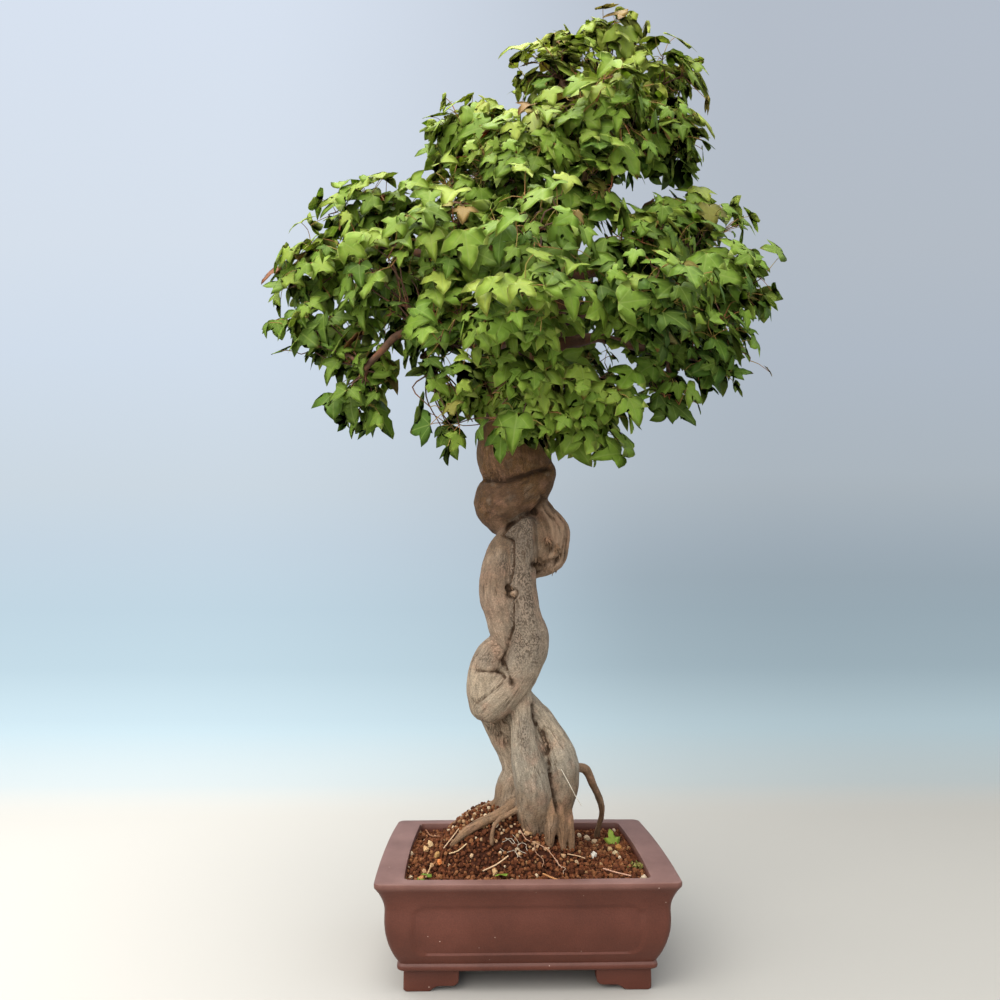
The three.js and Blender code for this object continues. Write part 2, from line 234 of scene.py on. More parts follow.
def makeClay():
    material, add, place = startMaterial("unglazed_red_clay")
    # clouds 60 mm wide, from the kiln
    cloud = add("TexNoise", {"Scale": 16.0, "Detail": 5.0, "Roughness": 0.6}, {"Vector": place})
    body = add("ValToRGB", {"stops": [(0.3, claySettings["bodyDark"]), (0.52, claySettings["body"]),
        (0.75, claySettings["bodyPale"])]}, {"Fac": cloud})
    # grains of about 1.4 mm, coarser than the real clay's
    sand = add("TexNoise", {"Scale": 700.0, "Detail": 2.0, "Roughness": 0.7}, {"Vector": place})
    sandTone = add("MapRange", {"range": (0.3, 0.7, 0.86, 1.12)}, {"Value": sand})
    grained = add("Mix", {"blend_type": "MULTIPLY", 0: 1.0}, {6: body, 7: sandTone})
    # one speck of grit in each 12 mm
    cells = add("TexVoronoi", {"Scale": 85.0, "Randomness": 1.0}, {"Vector": place})
    speck = add("MapRange", {"range": (0.04, 0.062, 1.0, 0.0)}, {"Value": cells.outputs["Distance"]})
    lucky = add("SeparateColor", {}, {0: cells.outputs["Color"]})
    shown = add("Math", {"operation": "GREATER_THAN", 1: 0.45}, {0: lucky})
    gritMask = add("Math", {"operation": "MULTIPLY"}, {0: speck, 1: shown})
    colour = add("Mix", {7: claySettings["grit"]}, {0: gritMask, 6: grained})
    # lime from the watering dried pale, with painted top light: the rim and the faces that look up are
    # painted lighter
    facing = add("SeparateXYZ", {}, {0: place.node.outputs["Normal"]})
    lift = add("MapRange", {"range": (0.25, 0.95, 0.0, 0.33)}, {"Value": facing.outputs["Z"]})
    spot = add("SeparateXYZ", {}, {0: place})
    band = add("MapRange", {"range": (0.112, 0.116, 0.0, 0.14)}, {"Value": spot.outputs["Z"]})
    bloomAndTopLightMost = add("Math", {"operation": "MAXIMUM"}, {0: lift, 1: band})
    uneven = add("MapRange", {"range": (0.3, 0.65, 0.6, 1.1)}, {"Value": cloud})
    bloomAndTopLightMask = add("Math", {"operation": "MULTIPLY"}, {0: bloomAndTopLightMost, 1: uneven})
    bloomedAndTopLit = add("Mix", {7: claySettings["bloomAndTopLight"]}, {0: bloomAndTopLightMask, 6: colour})
    bump = add("Bump", {"Strength": 0.3, "Distance": 0.0005}, {"Height": sand})
    surface = add("BsdfPrincipled", {"Roughness": claySettings["roughness"], "IOR": 1.5,
        "Specular IOR Level": 0.3}, {"Base Color": bloomedAndTopLit, "Normal": bump})
    add("OutputMaterial", {}, {"Surface": surface})
    return material


# pot

potSettings = {
    "endBow": 4.0, "sideBow": 1.5, "corner": 6.0, "rows": 2.2,
    # height above the floor and how far the wall stands in from the rim's edge
    "wall": [(22.5, 29), (24, 26), (25.2, 24.6), (27.5, 24.2), (29.5, 24.7), (30.6, 25.6), (31.4, 26),
             (33.5, 24.5), (42, 19.5), (53, 15), (66, 11.6), (78, 10.6), (84, 10.9), (90, 11.2), (96, 10.2),
             (102, 7.9), (108, 4.9), (113, 1.6), (114.6, 0.4), (116, 0), (118.6, 0), (119.6, 0.4),
             (120, 1.3)],
    # height, half length and half depth of the hollow
    "hollow": [(120, 138.6, 108.6), (119.6, 137.2, 107.2), (118.4, 136.6, 106.6), (105, 136.2, 106),
               (98, 135.5, 104), (80, 135, 101), (60, 134, 97.5), (40, 128, 91), (34, 124, 87)],
    "panel": {"low": 43.4, "high": 93.8, "side": 123.5, "end": 81.0, "depth": 1.7, "round": 14.0,
              "notch": (11.0, 7.0)},
    "drainSpacing": 140.0, "drainRadius": 11.0,
    "foot": {"inset": 34.0, "thickness": 15.0,
             "outline": [(0.2, 24), (0.2, 9), (0.8, 3), (2.0, 0.8), (4.0, 0), (27, 0), (30, 0.9), (33, 3.2),
             (36, 4.6), (39, 5), (53, 5), (56.5, 5.8), (59, 8), (60, 12), (60, 24)]},
}


def denseRows(rows, step):
    made = [rows[0]]
    for last, following in zip(rows, rows[1:]):
        count = max(1, round(math.dist(last, following) / step))
        for at in range(1, count + 1):
            made.append(tuple(a + (b - a) * at / count for a, b in zip(last, following)))
    return made


def roundedWall(rows):  # eases the corners of the wall's profile, but for its sharp ends
    heights, insets = np.array([r[0] for r in rows]), np.array([r[1] for r in rows])
    soft = insets.copy()
    for repeat in range(6):
        inner = (heights[1:-1] > 35) & (heights[1:-1] < 113)
        soft[1:-1] = np.where(inner, (soft[:-2] + soft[1:-1] * 2 + soft[2:]) / 4, soft[1:-1])
    return list(zip(heights, soft))


def panelDepth(along, height, halfWidth):
    panel = potSettings["panel"]
    out = max(abs(along) - halfWidth, height - panel["high"], panel["low"] - height)
    cornerX, cornerZ = halfWidth - panel["round"], panel["low"] + panel["round"]
    if abs(along) > cornerX and height < cornerZ:
        out = max(out, math.hypot(abs(along) - cornerX, cornerZ - height) - panel["round"])
    notchX, notchZ = panel["notch"]
    if abs(along) > halfWidth - notchX and height > panel["high"] - notchZ:
        across = (abs(along) - halfWidth + notchX) / notchX + (height - panel["high"] + notchZ) / notchZ - 1
        out = max(out, across * 5.0)
    ease = min(1.0, max(0.0, (0.8 - out) / 1.6))
    return panel["depth"] * ease * ease * (3 - 2 * ease)


def makePotBody():
    low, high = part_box("pot")
    halfX, halfY = (high.x - low.x) / 2 / mm, (high.y - low.y) / 2 / mm
    rows = roundedWall(denseRows(potSettings["wall"], potSettings["rows"]))
    start = rows[0]
    clearSelection()
    bpy.ops.mesh.primitive_plane_add(size=2, location=(0, 0, start[0] * mm))
    body = bpy.context.object
    flatX, flatY = 1 - potSettings["endBow"] / halfX, 1 - potSettings["sideBow"] / halfY
    body.scale = ((halfX - start[1]) * flatX * mm, (halfY - start[1]) * flatY * mm, 1)
    bpy.ops.object.transform_apply(location=True, rotation=True, scale=True)
    editAll(body)
    bpy.ops.mesh.bevel(offset=potSettings["corner"] * mm, segments=6, affect="VERTICES")
    bpy.ops.mesh.delete(type="ONLY_FACE")
    bpy.ops.mesh.select_mode(type="EDGE")
    choose(body, "edges", lambda middle, way: abs(way.x) > 0.1)
    bpy.ops.mesh.subdivide(number_cuts=150)
    choose(body, "edges", lambda middle, way: abs(way.y) > 0.1)
    bpy.ops.mesh.subdivide(number_cuts=104)
    bpy.ops.mesh.select_all(action="SELECT")
    bpy.ops.mesh.edge_face_add()
    shape = bmesh.from_edit_mesh(body.data)
    spanX, spanY = max(v.co.x for v in shape.verts), max(v.co.y for v in shape.verts)
    for v in shape.verts:  # the sides and ends swell a little between the corners
        x, y = v.co.x / spanX, v.co.y / spanY
        v.co.x += x * abs(x) * (1 - flatX) * spanX / flatX * (1 - y * y)
        v.co.y += y * abs(y) * (1 - flatY) * spanY / flatY * (1 - x * x)
    bmesh.update_edit_mesh(body.data)
    sizes = [(z, halfX - inset, halfY - inset) for z, inset in rows]
    # the flat top of the rim, in five steps inwards
    sizes += [(120, 163 - 4 * at, 118.5 - 1.5 * at) for at in range(1, 6)]
    sizes += denseRows(potSettings["hollow"], 6)
    for last, (z, sizeX, sizeY) in zip(sizes, sizes[1:]):
        bpy.ops.mesh.extrude_region_move(TRANSFORM_OT_translate={"value": (0, 0, (z - last[0]) * mm)})
        bpy.ops.transform.resize(value=(sizeX / last[1], sizeY / last[2], 1), center_override=(0, 0, z * mm))
    bpy.ops.object.mode_set(mode="OBJECT")
    outwards(body)
    points, normals = getPoints(body), getNormals(body)
    panel = potSettings["panel"]
    for at, (point, normal) in enumerate(zip(points, normals)):
        if point[2] < 0.035 or point[2] > 0.105 or normal[0] * point[0] + normal[1] * point[1] < 0:
            continue
        if abs(normal[1]) > 0.6:
            point[1] -= np.sign(normal[1]) * mm * panelDepth(point[0] / mm, point[2] / mm, panel["side"])
        elif abs(normal[0]) > 0.6:
            point[0] -= np.sign(normal[0]) * mm * panelDepth(point[1] / mm, point[2] / mm, panel["end"])
    # pressed by hand, so never quite flat
    wave = noiseAt(points, 0.09, 2) * 0.35 * mm * (points[:, 2] > 0.024)
    setPoints(body, points + normals * wave[:, None] * np.array([1, 1, 0.6]))
    return body


def makeFootArm():
    foot = potSettings["foot"]
    clearSelection()
    bpy.ops.mesh.primitive_circle_add(vertices=len(foot["outline"]), fill_type="NGON")
    arm = bpy.context.object
    setPoints(arm, [(x * mm, 0, z * mm) for x, z in foot["outline"]])
    editAll(arm)
    bpy.ops.mesh.extrude_region_move(TRANSFORM_OT_translate={"value": (0, foot["thickness"] * mm, 0)})
    bpy.ops.object.mode_set(mode="OBJECT")
    outwards(arm)
    editAll(arm, "EDGE")
    choose(arm, "edges", lambda middle, way: abs(way.y) < 1e-6 and middle.z < 0.0235)
    bpy.ops.mesh.bevel(offset=1.3 * mm, segments=3, affect="EDGES")
    bpy.ops.object.mode_set(mode="OBJECT")
    return arm


def makePot():
    body = makePotBody()
    low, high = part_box("pot")
    foot = potSettings["foot"]
    cornerX, cornerY = high.x - foot["inset"] * mm, high.y - foot["inset"] * mm
    arm = makeFootArm()
    arms = []
    for signX in (-1, 1):
        for signY in (-1, 1):
            for swapped in (False, True):
                clone = arm.copy()
                clone.data = arm.data.copy()
                bpy.context.scene.collection.objects.link(clone)
                points = getPoints(clone)
                if swapped:
                    points = points[:, [1, 0, 2]]
                points[:, 0] = signX * (cornerX - points[:, 0])
                points[:, 1] = signY * (cornerY - points[:, 1])
                setPoints(clone, points)
                outwards(clone)
                arms.append(clone)
    bpy.data.objects.remove(arm)
    feet = joinAll(arms)
    applyModifier(body, "BOOLEAN", object=feet, operation="UNION", solver="EXACT", use_self=True)
    bpy.data.objects.remove(feet)
    for side in (-1, 1):
        clearSelection()
        bpy.ops.mesh.primitive_cylinder_add(vertices=40, radius=potSettings["drainRadius"] * mm, depth=0.03,
            location=(side * potSettings["drainSpacing"] / 2 * mm, 0, 0.028))
        drill = bpy.context.object
        applyModifier(body, "BOOLEAN", object=drill, operation="DIFFERENCE", solver="EXACT")
        bpy.data.objects.remove(drill)
    pick(body)
    bpy.ops.object.shade_smooth_by_angle(angle=math.radians(40))
    finishPiece(body, "clay_pot", makeClay(), ["pot"])
    print("pot made:", len(body.data.polygons), "faces")


makePot()

# bark, pine-brown at the top and weathered grey below, smooth with fine pits and stretched wrinkles

barkSettings = {
    # height above the floor in metres, as a share of 0.1 to 0.66, and the colour there
    "byHeight": [(0.0, "#4c3826"), (0.1, "#624e39"), (0.2, "#8b8171"), (0.38, "#958570"), (0.56, "#907863"),
                 (0.66, "#725c46"), (0.77, "#4e3520"), (1.0, "#6f4f26")],
    "stain": "#7f6146", "grey": "#776e62", "bareWood": "#a58a72", "pits": "#453a2e", "lichen": "#b0a492",
    # crease is the dark of the painted shade in folds and hollows, and of the thin cracks
    "blush": "#96705a", "creaseShade": "#3a2818", "roughness": 0.78,
}


def makeBark():
    material, add, place = startMaterial("maple_bark_weathered")
    grain = add("Attribute", {"attribute_name": "barkGrain"})
    marks = add("Attribute", {"attribute_name": "barkMarks"})
    mark = add("SeparateXYZ", {}, {0: marks.outputs["Vector"]})  # painted crease shade, pitted, smooth
    spot = add("SeparateXYZ", {}, {0: place})
    height = add("MapRange", {"range": (0.10, 0.66)}, {"Value": spot.outputs["Z"]})
    drift = add("TexNoise", {"Scale": 22.0, "Detail": 3.0}, {"Vector": place})
    nudge = add("MapRange", {"range": (0.3, 0.7, -0.07, 0.07)}, {"Value": drift})
    level = add("Math", {"operation": "ADD"}, {0: height, 1: nudge})
    base = add("ValToRGB", {"stops": barkSettings["byHeight"]}, {"Fac": level})
    stretch = add("Mapping", {"Scale": (1.0, 1.0, 0.3)}, {"Vector": grain.outputs["Vector"]})
    # wrinkles 4 mm apart that run along each strand
    fibre = add("TexNoise", {"Scale": 260.0, "Detail": 4.0, "Roughness": 0.62}, {"Vector": stretch})
    patch = add("TexNoise", {"Scale": 48.0, "Detail": 4.0, "Roughness": 0.6}, {"Vector": place})
    # pores of 1.6 mm
    speckle = add("TexNoise", {"Scale": 620.0, "Detail": 3.0, "Roughness": 0.75}, {"Vector": place})
    soiled = add("Attribute", {"attribute_name": "barkStain"})
    stain = add("Math", {"operation": "MULTIPLY", 1: 0.8}, {0: soiled.outputs["Fac"]})
    blushMask = add("MapRange", {"range": (0.5, 0.72, 0.0, 0.5)}, {"Value": patch})
    stained = add("Mix", {7: barkSettings["stain"]}, {0: stain, 6: base})
    blushed = add("Mix", {7: barkSettings["blush"]}, {0: blushMask, 6: stained})
    paleMask = add("MapRange", {"range": (0.46, 0.30, 0.0, 0.16)}, {"Value": patch})
    paled = add("Mix", {7: barkSettings["lichen"]}, {0: paleMask, 6: blushed})
    fibreTone = add("MapRange", {"range": (0.3, 0.68, 0.62, 1.24)}, {"Value": fibre})
    fibred = add("Mix", {"blend_type": "MULTIPLY", 0: 1.0}, {6: paled, 7: fibreTone})
    speckTone = add("MapRange", {"range": (0.34, 0.6, 0.5, 1.2)}, {"Value": speckle})
    speckled = add("Mix", {"blend_type": "MULTIPLY", 0: 0.8}, {6: fibred, 7: speckTone})
    longer = add("Mapping", {"Scale": (1.0, 1.0, 0.6)}, {"Vector": grain.outputs["Vector"]})
    # short dark dashes under 2 mm apart
    pore = add("TexNoise", {"Scale": 640.0, "Detail": 1.0, "Roughness": 0.5}, {"Vector": longer})
    net = add("MapRange", {"range": (0.53, 0.43, 0.0, 0.92)}, {"Value": pore})
    bare = add("MapRange", {"range": (0.34, 0.56, 0.45, 1.0)}, {"Value": patch})
    netPart = add("Math", {"operation": "MULTIPLY"}, {0: net, 1: bare})
    netMask = add("Math", {"operation": "MULTIPLY"}, {0: netPart, 1: mark.outputs["Y"]})
    greyMask = add("Math", {"operation": "MULTIPLY", 1: 0.55}, {0: mark.outputs["Y"]})
    greyed = add("Mix", {7: barkSettings["grey"]}, {0: greyMask, 6: speckled})
    pitted = add("Mix", {7: barkSettings["pits"]}, {0: netMask, 6: greyed})
    drawn = add("Mapping", {"Scale": (1.0, 1.0, 0.13)}, {"Vector": grain.outputs["Vector"]})
    split = add("TexNoise", {"Scale": 105.0, "Detail": 2.0, "Roughness": 0.6, "Distortion": 0.4},
        {"Vector": drawn})  # thin cracks along each strand, about 10 mm apart
    offLine = add("Math", {"operation": "SUBTRACT", 1: 0.5}, {0: split})
    fromLine = add("Math", {"operation": "ABSOLUTE"}, {0: offLine})
    line = add("MapRange", {"range": (0.0, 0.022, 0.75, 0.0)}, {"Value": fromLine})
    lineHere = add("MapRange", {"range": (0.46, 0.58)}, {"Value": drift})
    crack = add("Math", {"operation": "MULTIPLY"}, {0: line, 1: lineHere})
    thinner = add("TexNoise", {"Scale": 150.0, "Detail": 4.0, "Roughness": 0.7}, {"Vector": place})
    ragged = add("MapRange", {"range": (0.3, 0.7, -0.36, 0.28)}, {"Value": thinner})
    creaseShadeEdge = add("Math", {"operation": "ADD"}, {0: ragged, 1: mark.outputs["X"]})
    # folds, knot hollows, grooves and hollows get painted shade: a dark, ragged core that comes and goes
    inCreaseShade = add("MapRange", {"range": (0.28, 0.8, 0.0, 0.94)}, {"Value": creaseShadeEdge})
    creaseShadeAndCrackMask = add("Math", {"operation": "MAXIMUM"}, {0: crack, 1: inCreaseShade})
    creaseShaded = add("Mix", {7: barkSettings["creaseShade"]}, {0: creaseShadeAndCrackMask, 6: pitted})
    pale = add("Mix", {7: barkSettings["bareWood"]}, {0: mark.outputs["Z"], 6: creaseShaded})
    deepest = add("Math", {"operation": "MAXIMUM"}, {0: netMask, 1: crack})
    relief = add("Math", {"operation": "SUBTRACT"}, {0: fibre, 1: deepest})
    bumpWide = add("Bump", {"Strength": 0.7, "Distance": 0.0014}, {"Height": relief})
    bumpFine = add("Bump", {"Strength": 0.4, "Distance": 0.0006}, {"Height": speckle, "Normal": bumpWide})
    surface = add("BsdfPrincipled", {"Roughness": barkSettings["roughness"], "IOR": 1.45,
        "Specular IOR Level": 0.3}, {"Base Color": pale, "Normal": bumpFine})
    add("OutputMaterial", {}, {"Surface": surface})
    return material


# trunk: strands that were twisted together young and have grown into one, with bare roots below

trunkSettings = {
    "grain": 2.1,
    # each point is x, y, z and the strand's radius there
    "strands": {
        "leader": [(0, 8, 560, 36), (-9, 0, 596, 47), (-10, 0, 627, 47), (-4, 3, 669, 42), (15, 6, 738, 34),
                   (42, 8, 838, 26), (69, 10, 948, 19), (91, 10, 1030, 14), (113, 10, 1122, 9),
                   (124, 8, 1180, 5)],
        "collar": [(16, 2, 588, 30), (2, -8, 564, 33), (-20, -8, 552, 35), (-31, 0, 543, 31),
                   (-22, 6, 520, 22)],
        "shoulder": [(6, 8, 572, 20), (16, 4, 553, 14), (30, 0, 531, 14), (43, -2, 510, 16.5),
                     (44, -3, 494, 17), (37, 2, 473, 18), (16, 8, 458, 13)],
        "pad": [(20, -2, 522, 14), (22, -8, 497, 17), (20, -4, 470, 14)],
        "core": [(2, 10, 560, 30), (-2, 12, 510, 26), (-4, 10, 460, 20), (0, 8, 400, 20), (-6, 6, 350, 18),
                 (-10, 6, 308, 19), (6, 6, 250, 24), (16, 4, 190, 30), (12, 0, 140, 30)],
        "frontLip": [(8, -18, 515, 10), (-6, -25, 508, 10), (-16, -24, 501, 6.5)],
        "front": [(2, -20, 514, 14), (1.5, -26, 480, 15), (0, -28, 438, 16), (2, -26, 407, 18),
                  (9, -18, 370, 23), (0, -20, 337, 22), (-23, -24, 306, 20), (-42, -16, 287, 18)],
        "left": [(-20, -12, 500, 12), (-28, -12, 478, 18), (-33, -12, 436, 22), (-28, -10, 401, 20),
                 (-18, -8, 364, 15)],
        "lobe": [(-14, -2, 368, 14), (-39, -4, 349, 20), (-46, -6, 316, 23), (-44, -4, 288, 21)],
        "shin": [(-2, -16, 310, 12), (-1, -26, 268, 14), (4, -30, 229, 18), (12, -27, 194, 22.5),
                 (11, -26, 166, 19.5), (10, -23, 140, 13)],
        "calf": [(-8, 0, 314, 10), (8, -2, 291, 13), (22, -3, 268, 18.5), (41, -10, 228, 24),
                 (47, -12, 200, 21), (42, -14, 170, 16), (38, -12, 142, 12)],
        "heel": [(-38, 4, 282, 17), (-22, 8, 250, 18), (-7, 8, 212, 18), (-14, 6, 188, 19), (-16, 4, 160, 21),
                 (-16, 0, 136, 20)],
        "rootLeft": [(-8, -10, 176, 8), (-22, -22, 170, 5.8), (-36, -28, 164, 5.4), (-57, -33, 156, 5.2),
                     (-74, -38, 146, 3.9), (-87, -40, 134, 2.5)],
        "rootLeftThin": [(-2, -32, 177, 3.2), (-12, -35, 172, 2.8), (-21, -37, 168, 2.6),
                         (-32, -41, 163, 2.4), (-38, -46, 152, 2.3), (-39, -49, 138, 2)],
        "rootLeftBack": [(-30, 4, 170, 7), (-50, 10, 161, 5), (-68, 14, 153, 4), (-86, 18, 141, 3),
                         (-98, 22, 126, 3)],
        "rootFrontNear": [(27, -34, 190, 6), (31, -38, 169, 7.6), (30, -40, 152, 6.8), (28, -41, 134, 5)],
        "rootFrontMid": [(41, -24, 186, 5.4), (43, -31, 165, 5.4), (44, -35, 148, 5), (44, -37, 128, 4)],
        "rootFrontFar": [(49, -16, 192, 5.6), (53, -23, 166, 5), (55, -28, 147, 4.6), (55, -30, 126, 4)],
        "rootArch": [(56, 0, 208, 7), (68, 4, 213, 5.2), (80, 12, 208, 5), (90, 24, 187, 4.6),
                     (99, 38, 168, 4.2), (104, 50, 148, 3.8), (101, 62, 126, 3.6), (99, 67, 112, 3.4)],
    },
    # folds between the strands: points x, z on the front, then how far back they reach, their width and
    # depth; the depth also sets their painted shade
    "folds": [
        ([(-58, 575), (-42, 570), (-23, 567), (-5, 571), (9, 576), (22, 581), (34, 587)], -10, 3.0, 6.4),
        ([(-26, 501), (-22, 497), (-13, 492), (-12.6, 462), (-17, 442), (-20, 436)], -14, 1.7, 3.4),
        ([(-14, 420), (-13.1, 415), (-13.7, 384), (-19, 361), (-25, 345), (-19, 331), (-15, 322)], -14, 1.6,
         3.2),
        ([(-60, 334), (-50, 333), (-40, 332), (-29, 333), (-24, 327)], -6, 2.2, 3.4),
        ([(-26, 321), (-38, 311), (-48, 303), (-56, 295)], -8, 1.4, 2.2),
        ([(-64, 300), (-58, 292), (-52, 294)], -6, 1.4, 1.8),
        ([(-34, 352), (-26, 342), (-22, 330)], -8, 1.2, 1.6),
        ([(11, 293), (12, 278), (19, 260), (25, 243), (30, 222), (34, 195), (39, 172)], -12, 1.9, 3.8),
        ([(22, 262), (28, 246), (27, 236)], -12, 3.4, 5.0),
        ([(34.5, 247), (35.5, 229), (39, 212)], -14, 1.3, 2.0),
        ([(24, 285), (30, 268), (44, 256)], -8, 1.0, 1.3),
        ([(24, 550), (28, 545), (33, 533), (42, 512), (41, 495), (35, 481)], 2, 1.7, 3.6),
        ([(30, 548), (38, 535), (49, 513), (48, 492), (43, 480)], 2, 1.3, 2.6),
        ([(33, 550), (44, 533), (55, 512), (55, 492)], 4, 1.1, 2.0),
        ([(46, 520), (52, 503), (50, 484)], 2, 0.9, 1.6),
        ([(14, 463), (24, 462), (34, 465), (44, 469)], 2, 4.2, 5.5),
        ([(-26, 502), (-16, 513), (-2, 523), (12, 529), (21, 538), (27, 548)], -8, 2.3, 3.8),
    ],
    # grey, dotted patches: x, z, half width and half height
    "greyPatches": [(-25, 466, 9, 16), (-48, 348, 11, 12), (0, 262, 9, 30)],
    # rings and hollows: x, z, how far back, radius, depth, and the height of a plug of dead wood in it; the
    # hollows also get painted shade
    "knots": [(-14, 427, -20, 7.4, 5.6, 6.0), (-19.5, 434, -18, 3.6, 3.8, 0.0),
              (-43, 525.6, -20, 4.4, 0.9, 0.7), (36, 466, 4, 5.0, 2.6, 2.4), (-15, 321, -10, 4.0, 5.0, 0.0),
              (16, 530, -6, 3.6, 4.0, 0.0), (27, 240, -14, 3.5, 3.0, 0.0), (31, 532, -4, 3.0, 2.4, 1.6)],
}


def smoothPath(points, step):  # a Catmull-Rom curve through the points
    points = np.array(points, float)
    ends = np.vstack([2 * points[0] - points[1], points, 2 * points[-1] - points[-2]])
    made = []
    for at in range(len(points) - 1):
        a, b, c, d = ends[at:at + 4]
        count = max(2, round(np.linalg.norm((c - b)[:3]) / step))
        for t in np.arange(count) / count:
            made.append(0.5 * (2 * b + (c - a) * t + (2 * a - 5 * b + 4 * c - d) * t ** 2
                + (3 * b - a - 3 * c + d) * t ** 3))
    made.append(points[-1])
    made = np.array(made)
    made[:, 3] = np.maximum(made[:, 3], points[:, 3].min() * 0.8)
    return made


def roundEnds(path):  # each strand closes in a dome, as it does where it is swallowed by the next
    first, last = path[0], path[-1]
    back, ahead = first[:3] - path[2][:3], last[:3] - path[-3][:3]
    back, ahead = back / np.linalg.norm(back), ahead / np.linalg.norm(ahead)
    head = [(*(first[:3] + back * first[3] * far), first[3] * thin) for far,
        thin in ((0.8, 0.3), (0.6, 0.66), (0.3, 0.9))]
    tail = [(*(last[:3] + ahead * last[3] * far), last[3] * thin) for far,
        thin in ((0.3, 0.9), (0.6, 0.66), (0.8, 0.3))]
    return np.vstack([head, path, tail])


def makeStems(name, paths, sides):  # one round stem for each path of x, y, z, radius in mm
    clearSelection()
    bpy.ops.curve.primitive_nurbs_path_add()
    stems = bpy.context.object
    stems.name = name
    curve = stems.data
    curve.splines.clear()
    curve.dimensions = "3D"
    curve.bevel_depth = mm
    curve.bevel_resolution = (sides - 4) // 2
    curve.use_fill_caps = True
    for path in paths:
        spline = curve.splines.new("POLY")
        spline.points.add(len(path) - 1)
        flat = np.ones((len(path), 4))
        flat[:, :3] = np.asarray(path)[:, :3] * mm
        spline.points.foreach_set("co", flat.ravel())
        spline.points.foreach_set("radius", np.asarray(path, float)[:, 3])
    pick(stems)
    bpy.ops.object.convert(target="MESH")
    return bpy.context.object


def alongStrands(points, paths):  # for each point: its nearest strand, and its place round and along it
    centres, radii, lengths, ways, owners = [], [], [], [], []
    for owner, path in enumerate(paths):
        steps = np.linalg.norm(np.diff(path[:, :3], axis=0), axis=1)
        way = np.gradient(path[:, :3], axis=0)
        centres.append(path[:, :3])
        radii.append(path[:, 3])
        lengths.append(np.concatenate([[0], np.cumsum(steps)]))
        ways.append(way / np.linalg.norm(way, axis=1)[:, None])
        owners.append(np.full(len(path), owner))
    centres, radii, lengths = np.vstack(centres), np.concatenate(radii), np.concatenate(lengths)
    ways, owners = np.vstack(ways), np.concatenate(owners)
    nearest = np.zeros(len(points), int)
    for start in range(0, len(points), 4000):
        block = points[start:start + 4000]
        gap = np.linalg.norm(block[:, None] - centres[None], axis=2) - radii[None]
        nearest[start:start + 4000] = gap.argmin(1)
    way = ways[nearest]
    offset = points - centres[nearest]
    side = np.cross(way, np.array([0.0, 1.0, 0.02]))
    side /= np.linalg.norm(side, axis=1)[:, None]
    front = np.cross(way, side)
    grain = np.stack([(offset * side).sum(1), (offset * front).sum(1),
        lengths[nearest] + (offset * way).sum(1) + owners[nearest] * 700], axis=1)
    return owners[nearest], grain


def distanceToLine(points, line):
    best = np.full(len(points), 1e9)
    line = np.array(line, float)
    for a, b in zip(line, line[1:]):
        t = np.clip(((points - a) @ (b - a)) / ((b - a) @ (b - a)), 0, 1)
        best = np.minimum(best, np.linalg.norm(points - a - t[:, None] * (b - a), axis=1))
    return best


def blurField(thing, field, repeats):  # averages a value or vector over neighbouring points
    edges = np.zeros(len(thing.data.edges) * 2, int)
    thing.data.edges.foreach_get("vertices", edges)
    a, b = edges.reshape(-1, 2).T
    count = np.bincount(a, minlength=len(field)) + np.bincount(b, minlength=len(field))
    field = np.array(field, float)
    shaped = field.reshape(len(field), -1)
    for repeat in range(repeats):
        total = np.stack([np.bincount(a, column[b], len(field)) + np.bincount(b, column[a], len(field))
            for column in shaped.T], axis=1)
        shaped = (shaped + total / np.maximum(count, 1)[:, None]) / 2
    return shaped.reshape(field.shape)


